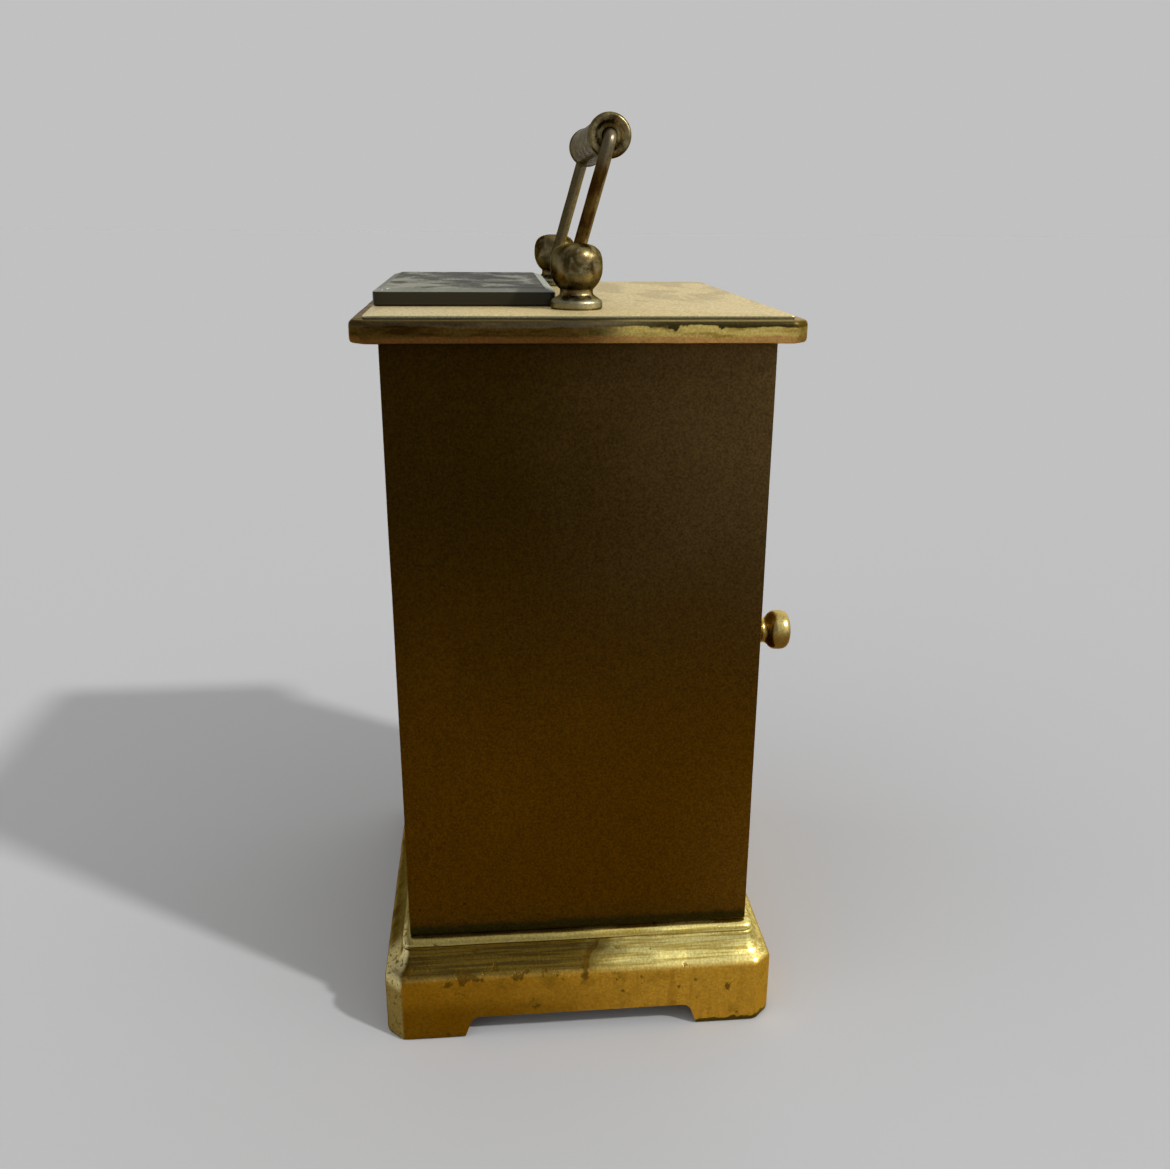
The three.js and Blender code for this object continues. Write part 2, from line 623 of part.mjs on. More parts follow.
function knobSolid() {
  const { head, neck, ring, stem, reach } = KNOB;
  const foot = SEAT_GAP;
  const inside = SEAT_GAP - FACE_THICK; // riveted flush with the inside of the door
  return turned([
    [0, inside], [stem, inside], [stem, foot], [ring, foot], [ring, 0.5], [neck + 0.15, 0.9],
    [neck, 1.5], [neck + 0.3, 2.1], [head - 0.25, 2.25], [head, 2.6], [head, reach - 1.1],
    [head - 0.35, reach - 0.45], [head - 1.1, reach - 0.1], [0, reach],
  ], 'y');
}

function addRearDoor() {
  const door = new THREE.Group();
  door.position.set(DOOR.hingeX, DOOR.hingeY, 0);
  place('rear_door', doorSolid(), BRONZED_BRASS, [0, 0, 0], door);
  const outside = FACE_THICK / 2;
  place('door_knob', knobSolid(), POLISHED_BRASS, [KNOB.x - DOOR.hingeX, outside, KNOB.z], door);
  const [low, high] = [CASE.bottom + FREE_GAP, CASE.top - FREE_GAP];
  const pinLow = bar(DOOR.pin, [CASE.bottom - DOOR.pinShow, low + DOOR.pinDepth], 'z', 10);
  const pinHigh = bar(DOOR.pin, [high - DOOR.pinDepth, CASE.top + DOOR.pinShow], 'z', 10);
  place('hinge_pin_bottom', pinLow, STEEL, [0, 0, 0], door);
  place('hinge_pin_top', pinHigh, STEEL, [0, 0, 0], door);
  clock.add(door);
}

// ---- movement frame

const arborHoles = [barrelAt, centreAt, thirdAt, contrateAt];
const BARREL_ARBOR = 2; // radius of the winding arbor where it passes the plates
const MINUTE_STUD = { head: 1, under: -19.9, tip: -20.4 };

function plateSolid(y, extraHoles) {
  const { halfX, bottom, top, thick } = PLATE;
  const shape = outline(rectangle([-halfX, halfX], [bottom, top]), [
    ...arborHoles.slice(2).map((at) => holeOutline(PIVOT, at)),
    holeOutline(BARREL_ARBOR, barrelAt, RUN_GAP, 12),
    ...[-1, 1].flatMap((side) => [CORNER.low, CORNER.high].map((z) =>
      holeOutline(ARBOR, [side * CORNER.x, z]))),
    ...extraHoles,
  ]);
  return slabY(shape, [y, y + thick]);
}

// A turned pillar between the plates, with a riveted end through each
function movementPillarSolid() {
  const { frontY, backY, thick } = PLATE;
  const [from, to] = [frontY + SEAT_GAP, backY - SEAT_GAP];
  const [rivet, body, foot] = [ARBOR, 1.6, 2.3];
  return turned([
    [0, frontY - thick], [rivet, frontY - thick], [rivet, from], [foot, from], [foot, from + 1.5],
    [body, from + 3], [body, to - 3], [foot, to - 1.5], [foot, to], [rivet, to],
    [rivet, backY + thick], [0, backY + thick],
  ], 'y', 10);
}

function platformSolid() {
  const { halfX, front, rear, bottom, thick } = PLATFORM;
  const [x] = contrateAt;
  const shape = outline(rectangle([-halfX, halfX], [front, rear]), [
    circle(1.7, 12, [x, ESCAPE.y]),
    holeOutline(PIVOT, [x, LEVER.y]),
    holeOutline(PIVOT, [x, BALANCE.y]),
    ...[-1, 1].map((side) => holeOutline(PIVOT, [side * (halfX - 2), rear - 2])),
  ]);
  return slabZ(shape, [bottom, bottom + thick]);
}

// A bridge or cock: an arm over the pivots, on a foot that stands on the platform
function bridgeSolid({ halfX, arm, foot, under, thick, pivots }) {
  const floor = PLATFORM.bottom + PLATFORM.thick + SEAT_GAP;
  const top = block([-halfX, halfX], arm, [under, under + thick]);
  const support = block([-halfX, halfX], foot, [floor, under + thick / 2]);
  const holes = pivots.map((y) =>
    hole(PIVOT, [under - 1, under + thick + 1], 'z', RUN_GAP, 8).translate(0, y, 0));
  return cutBy(joined(top, support), ...holes);
}

function addMovementFrame() {
  const { frontY, backY, thick } = PLATE;
  const setting = holeOutline(ARBOR, settingAt);
  const centreFront = holeOutline(ARBOR, centreAt);
  const centreBack = holeOutline(PIVOT, centreAt);
  // the minute wheel turns on a headed stud riveted in the front plate
  const { head, under, tip } = MINUTE_STUD;
  const root = frontY - thick / 2;
  const stud = turned([
    [0, tip], [head, tip], [head, under], [PIVOT, under], [PIVOT, root], [0, root],
  ], 'y', 8).translate(minuteAt[0], 0, minuteAt[1]);
  const front = joined(plateSolid(frontY - thick, [setting, centreFront]), stud);
  const back = plateSolid(backY, [setting, centreBack, holeOutline(PIVOT, clickAt)]);
  place('movement_front_plate', front, MOVEMENT_BRASS);
  place('movement_back_plate', back, MOVEMENT_BRASS);
  for (const [side, sx] of SIDES) {
    for (const [level, z] of [['lower', CORNER.low], ['upper', CORNER.high]]) {
      place(`movement_pillar_${level}_${side}`, movementPillarSolid(), MOVEMENT_BRASS,
        [sx * CORNER.x, 0, z]);
    }
  }
  const [x] = contrateAt;
  place('platform', platformSolid(), MOVEMENT_BRASS);
  const escapeBridge = bridgeSolid({
    halfX: 1.5, arm: [-15, LEVER.y + 1.2], foot: [-15, -14], under: 96.2, thick: 0.8,
    pivots: [ESCAPE.y, LEVER.y],
  });
  place('escape_bridge', escapeBridge, MOVEMENT_BRASS, [x, 0, 0]);
  const cock = bridgeSolid({
    halfX: 2, arm: [BALANCE.y - 1.8, 12.2], foot: [8.4, 12.2], under: 101.6, thick: 1.1,
    pivots: [BALANCE.y],
  });
  place('balance_cock', cock, MOVEMENT_BRASS, [x, 0, 0]);
}

// ---- going train

// Every wheel stands with a tooth at +X, and each pinion is turned to mesh with its wheel
const centrePinionPhase = inMesh(0, GREAT.teeth, GREAT.leaves, Math.PI / 2);
const thirdAngle = THREE.MathUtils.degToRad(THIRD_ANGLE);
const thirdPinionPhase = inMesh(0, CENTRE.teeth, CENTRE.leaves, thirdAngle);
const contrateAngle = THREE.MathUtils.degToRad(CONTRATE_ANGLE);
const contratePinionPhase = inMesh(0, THIRD.teeth, THIRD.leaves, contrateAngle);

// A wheel riveted on its pinion and arbor. The places along y are the case's own.
function wheelAndPinion({ wheel, wheelY, windows, pinion, pinionY, arbor, arborY, pivots }) {
  const [from, to] = arborY;
  return joined(
    slabY(outline(wheel, windows), wheelY),
    slabY(outline(pinion), pinionY),
    bar(arbor, arborY, 'y', 8),
    bar(PIVOT, [from - pivots[0], to + pivots[1]], 'y', 8),
  );
}

function barrelSolid() {
  const { teeth, module, y } = GREAT;
  const { drum, inner, frontY } = BARREL;
  const great = slabY(outline(wheelTeeth(teeth, module, 0)), y);
  const wall = bar(drum, [frontY, y[0] + 0.1], 'y', 32);
  const room = bar(inner, [frontY - 1, y[0]], 'y', 32);
  return cutBy(joined(great, wall), room, hole(BARREL_ARBOR, [frontY, y[1] + 1], 'y'));
}

function spiral(inner, outer, turns, steps, thick) {
  const count = Math.round(turns * steps);
  const side = (shift) => Array.from({ length: count + 1 }, (_, k) => {
    const angle = (2 * Math.PI * k) / steps;
    const radius = inner + ((outer - inner) * k) / count + shift;
    return [radius * Math.cos(angle), radius * Math.sin(angle)];
  });
  return outline([...side(thick / 2), ...side(-thick / 2).reverse()]);
}

// The contrate wheel's upright teeth: a ring whose front edge rises and falls round the wheel
function crownSolid(phase) {
  const { teeth, inner, outer, web } = CONTRATE;
  const [rootY, tipY] = [web[0], web[0] - 0.85];
  const profile = [[-0.5, rootY], [0, tipY]];
  const step = (2 * Math.PI) / teeth;
  const stations = Array.from({ length: teeth }, (_, k) =>
    profile.map(([share, y]) => [phase + (k + share) * step, y])).flat();
  const ring = stations.map(([angle, y]) => {
    const [c, s] = [Math.cos(angle), Math.sin(angle)];
    const back = web[1];
    return [
      [inner * c, back, inner * s], [inner * c, y, inner * s],
      [outer * c, y, outer * s], [outer * c, back, outer * s],
    ];
  });
  const index = [];
  for (let k = 0; k < ring.length; k++) {
    const next = (k + 1) % ring.length;
    for (let side = 0; side < 4; side++) {
      const [a, b] = [4 * k + side, 4 * k + ((side + 1) % 4)];
      const [c, d] = [4 * next + ((side + 1) % 4), 4 * next + side];
      index.push(a, b, c, a, c, d);
    }
  }
  const geometry = new THREE.BufferGeometry();
  geometry.setAttribute('position', new THREE.Float32BufferAttribute(ring.flat(2), 3));
  geometry.setIndex(index);
  return solidOf(geometry);
}

function contrateSolid() {
  const { inner, outer, web } = CONTRATE;
  const overlap = 0.2;
  const disc = outline(circle(inner + overlap, 24), crossings(2, inner - 0.7, 0.55));
  const { frontY, backY, thick } = PLATE;
  return joined(
    crownSolid(0),
    slabY(disc, web),
    slabY(outline(pinionLeaves(THIRD.leaves, THIRD.module, contratePinionPhase)), [-3.7, -1.7]),
    bar(0.7, [-12, backY - FREE_GAP], 'y', 8),
    bar(PIVOT, [frontY - thick, backY + thick], 'y', 8),
  );
}

function escapeSolid() {
  const { teeth, tip, root, z } = ESCAPE;
  const step = (2 * Math.PI) / teeth;
  const point = (radius, angle) => [radius * Math.cos(angle), radius * Math.sin(angle)];
  const clubs = Array.from({ length: teeth }, (_, k) => {
    const a = k * step;
    return [point(root, a), point(tip - 0.2, a + 0.35 * step), point(tip, a + 0.6 * step),
      point(root, a + 0.55 * step)];
  }).flat();
  const leafPitch = (Math.PI * (CONTRATE.inner + CONTRATE.outer)) / CONTRATE.teeth;
  const module = leafPitch / Math.PI;
  // the crown stands at the +Y side of the pinion, with a tooth of its own at +X
  const top = Math.PI / 2;
  const phase = top - (top * CONTRATE.teeth - Math.PI) / CONTRATE.leaves;
  const leaves = outline(pinionLeaves(CONTRATE.leaves, module, phase));
  const crownTop = contrateAt[1] + CONTRATE.outer;
  return joined(
    slabZ(outline(clubs, crossings(0.9, root - 0.5, 0.25)), z),
    slabZ(leaves, [crownTop - 1.9, crownTop + 0.3]),
    bar(0.62, [crownTop - 2.6, z[1] + 0.5], 'z', 8),
    bar(PIVOT / 1.5, [crownTop - 3, z[1] + 1.6], 'z', 8),
  );
}

function addGoingTrain() {
  const { frontY, backY, thick } = PLATE;
  const [barrelX, barrelZ] = barrelAt;
  place('barrel', barrelSolid(), MOVEMENT_BRASS, [barrelX, 0, barrelZ]);
  const { cover: coverRadius, coverY, springY } = BARREL;
  const cover = outline(circle(coverRadius, 32), [holeOutline(BARREL_ARBOR, [0, 0], RUN_GAP, 12)]);
  const spring = spiral(4.4, 14.4, 5, 14, 0.9);
  place('barrel_cover', slabY(cover, coverY), MOVEMENT_BRASS, [barrelX, 0, barrelZ]);
  place('mainspring', slabY(spring, springY), BLUED_STEEL, [barrelX, 0, barrelZ]);

  const centre = wheelAndPinion({
    wheel: wheelTeeth(CENTRE.teeth, CENTRE.module, 0),
    wheelY: CENTRE.y,
    windows: crossings(2.6, 10.4, 0.8),
    pinion: pinionLeaves(GREAT.leaves, GREAT.module, centrePinionPhase),
    pinionY: [GREAT.y[0] - 1, GREAT.y[1] + 1],
    arbor: ARBOR,
    arborY: [frontY + SEAT_GAP, backY - FREE_GAP],
    pivots: [9.6, thick + FREE_GAP],
  });
  place('centre_wheel', centre, MOVEMENT_BRASS, [0, 0, DIAL_Z]);

  const third = wheelAndPinion({
    wheel: wheelTeeth(THIRD.teeth, THIRD.module, 0),
    wheelY: THIRD.y,
    windows: crossings(2, 7.7, 0.7),
    pinion: pinionLeaves(CENTRE.leaves, CENTRE.module, thirdPinionPhase),
    pinionY: [CENTRE.y[0] - 0.6, CENTRE.y[1] + 0.6],
    arbor: 0.7,
    arborY: [frontY + FREE_GAP, backY - FREE_GAP],
    pivots: [thick, thick],
  });
  place('third_wheel', third, MOVEMENT_BRASS, [thirdAt[0], 0, thirdAt[1]]);
  place('contrate_wheel', contrateSolid(), MOVEMENT_BRASS, [contrateAt[0], 0, contrateAt[1]]);
  place('escape_wheel', escapeSolid(), STEEL, [contrateAt[0], ESCAPE.y, 0]);
}

// ---- winding work

const RATCHET = { teeth: 24, tip: 8, root: 6.9, thick: 1.2 };
const WINDING = { squareHalf: 1.5, squareEnd: 20, hub: 3.6, hubY: [-7.6, 7.1] };

function ratchetSolid() {
  const { teeth, tip, root, thick } = RATCHET;
  const squareHalf = WINDING.squareHalf + SEAT_GAP;
  const step = (2 * Math.PI) / teeth;
  const points = Array.from({ length: teeth }, (_, k) => {
    const a = k * step;
    const b = a + 0.85 * step;
    return [[tip * Math.cos(a), tip * Math.sin(a)], [root * Math.cos(b), root * Math.sin(b)]];
  }).flat();
  const square = circle(squareHalf * Math.SQRT2, 4, [0, 0], Math.PI / 4);
  return slabY(outline(points, [square]), [0, thick]);
}

// The winding arbor: a hub inside the barrel, a pivot in each plate and a square for the key
function barrelArborSolid() {
  const { frontY, backY, thick } = PLATE;
  const outside = backY + thick;
  const side = circle(WINDING.squareHalf * Math.SQRT2, 4, [0, 0], Math.PI / 4);
  return joined(
    bar(BARREL_ARBOR, [frontY - thick, outside + FREE_GAP], 'y', 12),
    bar(WINDING.hub, WINDING.hubY, 'y', 16),
    slabY(outline(side), [outside, WINDING.squareEnd]),
  );
}

function addWindingWork() {
  const [x, z] = barrelAt;
  const outside = PLATE.backY + PLATE.thick;
  place('winding_arbor', barrelArborSolid(), STEEL, [x, 0, z]);
  place('ratchet_wheel', ratchetSolid(), STEEL, [x, outside + FREE_GAP + SEAT_GAP, z]);
  const [px, pz] = clickAt;
  const click = outline(
    [[-1.6, 1.2], [-1.6, -1.2], [1.2, -1.5], [1.6, 0.6], [-3.1, 3.6], [-4.1, 3.4]],
    [holeOutline(PIVOT, [0, 0])],
  );
  place('click', slabY(click, [0, RATCHET.thick]), STEEL, [px, outside + 2 * SEAT_GAP, pz]);
  const [head, under, tip, root] = [1.2, RATCHET.thick + 0.15, RATCHET.thick + 0.6, -1];
  const screw = turned([
    [0, root], [PIVOT, root], [PIVOT, under], [head, under], [head, tip], [0, tip],
  ], 'y', 8);
  place('click_screw', screw, BLUED_STEEL, [px, outside, pz]);
  const springThick = 0.8;
  const spring = outline([
    [2, -1.6], [2.5, -1.8], [4.6, 7.4], [4.2, 9.6], [2.6, 10.4], [2.1, 9.5], [3.4, 8.4], [3.8, 7],
  ]);
  place('click_spring', slabY(spring, [0, springThick]), BLUED_STEEL, [px, outside + 2 * SEAT_GAP, pz]);
}

// ---- motion work and hands

function pointer({ length, hub, tail, shoulder, neck, bore }) {
  const side = [
    [hub * 0.5, hub * 0.9], [neck, length * 0.45],
    [shoulder, length * 0.66], [neck * 0.8, length * 0.84],
  ];
  const points = [
    ...side, [0, length], ...side.map(([u, v]) => [-u, v]).reverse(),
    [-hub, 0], [-hub * 0.5, -hub * 0.85 - tail], [hub * 0.5, -hub * 0.85 - tail], [hub, 0],
  ];
  return outline(points, [holeOutline(bore, [0, 0], SEAT_GAP, 10)]);
}

// A flat hand pointing to an hour angle, clockwise as the dial is read
const handSolid = (shape, span, degrees) => slabY(shape, span).rotate([0, degrees, 0]);

function addMotionWork() {
  const module = (2 * MOTION.pair) / (MOTION.cannon + MOTION.minute);
  const hourModule = (2 * MOTION.pair) / (MOTION.pinion + MOTION.hour);
  const angle = THREE.MathUtils.degToRad(MINUTE_ANGLE);
  const { cannonPipe, hourPipe, cannonY, cannonEnd, minuteY, pinionY, hourY, hourEnd, settingY } = MOTION;
  const through = [cannonEnd - 1, PLATE.frontY];

  const cannon = cutBy(joined(
    slabY(outline(pinionLeaves(MOTION.cannon, module, 0)), cannonY),
    bar(cannonPipe, [cannonEnd, cannonY[1]], 'y', 12),
  ), hole(PIVOT, through, 'y', SEAT_GAP, 8));
  place('cannon_pinion', cannon, STEEL, [0, 0, DIAL_Z]);

  const minutePhase = inMesh(0, MOTION.cannon, MOTION.minute, angle);
  const minute = cutBy(joined(
    slabY(outline(wheelTeeth(MOTION.minute, module, minutePhase)), minuteY),
    slabY(outline(pinionLeaves(MOTION.pinion, hourModule, 0)), pinionY),
  ), hole(PIVOT, through, 'y', RUN_GAP, 8));
  place('minute_wheel', minute, MOVEMENT_BRASS, [minuteAt[0], 0, minuteAt[1]]);

  const hourPhase = inMesh(0, MOTION.pinion, MOTION.hour, angle + Math.PI);
  const hour = cutBy(joined(
    slabY(outline(wheelTeeth(MOTION.hour, hourModule, hourPhase)), hourY),
    bar(hourPipe, [hourEnd, hourY[1] + SEAT_GAP], 'y', 12),
  ), hole(cannonPipe, through, 'y', RUN_GAP, 12));
  place('hour_wheel', hour, MOVEMENT_BRASS, [0, 0, DIAL_Z]);

  const settingPhase = inMesh(
    minutePhase, MOTION.minute, MOTION.cannon, THREE.MathUtils.degToRad(SETTING_ANGLE),
  );
  const { backY, thick } = PLATE;
  const square = circle(MOTION.settingHalf * Math.SQRT2, 4, [0, 0], Math.PI / 4);
  const setting = joined(
    slabY(outline(pinionLeaves(MOTION.cannon, module, settingPhase)), settingY),
    bar(ARBOR, [settingY[0] - ARBOR, backY + thick + FREE_GAP], 'y', 8),
    slabY(outline(square), [backY + thick, MOTION.settingEnd]),
  );
  place('setting_arbor', setting, STEEL, [settingAt[0], 0, settingAt[1]]);

  const hourHand = pointer({ ...HOUR_HAND, bore: hourPipe });
  const minuteHand = pointer({ ...MINUTE_HAND, bore: cannonPipe });
  const { y: hourHandY, angle: hourAngle } = HOUR_HAND;
  const { y: minuteHandY, angle: minuteAngle } = MINUTE_HAND;
  place('hour_hand', handSolid(hourHand, hourHandY, hourAngle), BLUED_STEEL, [0, 0, DIAL_Z]);
  place('minute_hand', handSolid(minuteHand, minuteHandY, minuteAngle), BLUED_STEEL, [0, 0, DIAL_Z]);
}

// ---- lever, balance and hairspring

function addEscapement() {
  const [x] = contrateAt;
  const guard = 3.75; // pallet faces stay outside the escape wheel's tips
  const reach = ESCAPE.y - LEVER.y;
  const pallet = [[guard, reach + 1.4], [guard + 0.1, reach + 0.4], [guard + 0.5, reach + 1.2]];
  const fork = [[0.9, 0.7], [0.45, 3.6], [1.1, 5.1], [0.6, 5.3]];
  const mirrored = (points) => points.map(([u, v]) => [-u, v]).reverse();
  const lever = outline([
    ...fork, [0, 4.3], ...mirrored(fork), ...mirrored(pallet), [-0.7, -0.9], [0.7, -0.9], ...pallet,
  ]);
  const staff = bar(PIVOT, LEVER.staffZ, 'z', 8);
  place('pallet_lever', joined(slabZ(lever, LEVER.z), staff), STEEL, [x, LEVER.y, 0]);

  const { rim, rimIn, z, roller, rollerZ, staff: thickness, staffZ, pivotZ, springZ } = BALANCE;
  const wheel = outline(circle(rim, 24), crossings(1.2, rimIn, 0.5));
  const disc = bar(roller, rollerZ, 'z', 12);
  const pin = bar(0.2, [rollerZ[0] - 0.3, rollerZ[0] + 0.2], 'z', 6).translate(0, 0.4 - roller, 0);
  const balance = joined(
    slabZ(wheel, z), disc, pin, bar(thickness, staffZ, 'z', 8), bar(PIVOT / 1.5, pivotZ, 'z', 8),
  );
  place('balance_wheel', balance, MOVEMENT_BRASS, [x, BALANCE.y, 0]);
  const hairspring = spiral(1.1, 3.6, 3.5, 12, 0.18);
  place('hairspring', slabZ(hairspring, springZ), BLUED_STEEL, [x, BALANCE.y, 0]);
}

addCase();
addFront();
addHandle();
addRearDoor();
addMovementFrame();
addGoingTrain();
addWindingWork();
addMotionWork();
addEscapement();

export default clock;
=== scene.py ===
"""The looks of a small brass carriage clock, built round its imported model."""
import json
import math

import bmesh
import bpy
from mathutils import Matrix, Vector, noise


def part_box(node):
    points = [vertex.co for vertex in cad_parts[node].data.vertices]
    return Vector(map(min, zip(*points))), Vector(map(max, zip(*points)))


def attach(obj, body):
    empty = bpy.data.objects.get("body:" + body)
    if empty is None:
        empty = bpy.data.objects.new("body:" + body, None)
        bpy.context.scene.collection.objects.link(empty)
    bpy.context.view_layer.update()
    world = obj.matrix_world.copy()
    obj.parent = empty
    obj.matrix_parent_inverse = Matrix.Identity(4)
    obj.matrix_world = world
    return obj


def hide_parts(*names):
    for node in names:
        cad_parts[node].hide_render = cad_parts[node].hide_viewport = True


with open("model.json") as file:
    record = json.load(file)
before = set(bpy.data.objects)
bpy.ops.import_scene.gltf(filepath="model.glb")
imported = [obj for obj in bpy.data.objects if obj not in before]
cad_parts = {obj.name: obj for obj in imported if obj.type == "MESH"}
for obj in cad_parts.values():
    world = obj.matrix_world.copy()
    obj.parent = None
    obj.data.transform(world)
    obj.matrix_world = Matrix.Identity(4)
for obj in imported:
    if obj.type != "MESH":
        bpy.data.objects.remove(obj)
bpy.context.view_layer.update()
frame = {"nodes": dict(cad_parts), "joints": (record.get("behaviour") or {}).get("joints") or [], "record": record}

noise.seed_set(1)
MM = 0.001
SLOT_OF = {part["node"]: part["material_slot"] for part in frame["record"]["subparts"]}
JOINT = {joint["name"]: joint for joint in frame["joints"]}


def box(node):
    """The lowest and highest corner of a CAD node, in millimetres."""
    low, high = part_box(node)
    return low / MM, high / MM


def placed(name, data):
    """A new object in the scene."""
    obj = bpy.data.objects.new(name, data)
    bpy.context.scene.collection.objects.link(obj)
    return obj


PIVOT_Z = JOINT["handle_fold"]["pos_m"][2] / MM
GRIP_AT = Vector(JOINT["grip_spin"]["pos_m"]) / MM
LEAN = math.atan2(GRIP_AT.y, GRIP_AT.z - PIVOT_Z)
REACH = math.hypot(GRIP_AT.y, GRIP_AT.z - PIVOT_Z)


# ---------------------------------------------------------------- camera, floor and light

def add_camera():
    yaw, pitch, roll = -0.105, 0.333, 0.010
    forward = Vector((-math.cos(yaw) * math.cos(pitch), -math.sin(yaw) * math.cos(pitch), -math.sin(pitch)))
    level = Vector((-math.sin(yaw), math.cos(yaw), 0))
    upright = level.cross(forward)
    right = level * math.cos(roll) + upright * math.sin(roll)
    up = upright * math.cos(roll) - level * math.sin(roll)
    camera = placed("camera", bpy.data.cameras.new("camera"))
    place = Matrix.Translation((0.196475, -0.01333, 0.131005))
    camera.matrix_world = place @ Matrix((right, up, -forward)).transposed().to_4x4()
    camera.data.lens = 35
    camera.data.sensor_width = 36
    camera.data.shift_x = -0.0171
    camera.data.shift_y = 0.01325
    camera.data.clip_start = 0.01
    bpy.context.scene.camera = camera
    bpy.context.scene.view_settings.view_transform = "Standard"


BACKGROUND = 0.533  # the tone behind the clock, and of the floor where the key light falls
BRIGHT_SIDE = (-0.1, 1, 0.1)
DIM, BRIGHT = 0.27, 0.86  # radiance of the studio's two sides
KEY = Vector((0.64, 0.90, 1.0)).normalized()  # towards the key light


def add_world():
    """A soft studio, brighter towards the rear of the clock, with one even tone for a background."""
    world = bpy.data.worlds.new("studio")
    world.use_nodes = True
    tree = world.node_tree
    new, link = tree.nodes.new, tree.links.new
    direction = new("ShaderNodeTexCoord")
    facing = new("ShaderNodeVectorMath")
    facing.operation = "DOT_PRODUCT"
    facing.inputs[1].default_value = BRIGHT_SIDE
    level = new("ShaderNodeMapRange")
    level.interpolation_type = "SMOOTHSTEP"
    for name, number in (("From Min", -0.35), ("From Max", 0.5), ("To Min", DIM), ("To Max", BRIGHT)):
        level.inputs[name].default_value = number
    seen = new("ShaderNodeLightPath")
    strength = new("ShaderNodeMix")
    strength.inputs["B"].default_value = BACKGROUND
    link(direction.outputs["Generated"], facing.inputs[0])
    link(facing.outputs["Value"], level.inputs["Value"])
    link(level.outputs["Result"], strength.inputs["A"])
    link(seen.outputs["Is Camera Ray"], strength.inputs["Factor"])
    shade = tree.nodes["Background"].inputs
    shade["Color"].default_value = (1, 1, 1, 1)
    link(strength.outputs["Result"], shade["Strength"])
    bpy.context.scene.world = world


def add_lamp(name, kind, energy, towards):
    """A lamp that shines against the direction towards it."""
    lamp = placed(name, bpy.data.lights.new(name, kind))
    lamp.data.energy = energy
    lamp.rotation_mode = "QUATERNION"
    lamp.rotation_quaternion = towards.to_track_quat("Z", "Y")
    return lamp


def add_light():
    key = add_lamp("key", "SUN", 2.14, KEY)
    key.data.angle = math.radians(3.6)

    fill = add_lamp("fill", "SUN", 1.15, Vector((0.35, -0.6, 0.72)))
    fill.data.angle = math.radians(70)
    fill.visible_glossy = False

    place, aimed_at = Vector((0.25, 0.7, 0.55)), Vector((0, 0, 0.08))
    softbox = add_lamp("softbox", "AREA", 2.2, place - aimed_at)
    softbox.data.shape = "RECTANGLE"
    softbox.data.size = 0.35
    softbox.data.size_y = 0.25
    softbox.location = place
    softbox.visible_diffuse = False


def add_floor():
    half = 6
    mesh = bpy.data.meshes.new("floor")
    corners = [(-half, -half, 0), (half, -half, 0), (half, half, 0), (-half, half, 0)]
    mesh.from_pydata(corners, [], [(0, 1, 2, 3)])
    floor = placed("floor", mesh)
    material = bpy.data.materials.new("floor")
    material.use_nodes = True
    shader = material.node_tree.nodes["Principled BSDF"].inputs
    shader["Base Color"].default_value = (0.414, 0.414, 0.416, 1)
    shader["Roughness"].default_value = 1
    shader["Specular IOR Level"].default_value = 0
    mesh.materials.append(material)


# ---------------------------------------------------------------- materials

FINISHES = {}


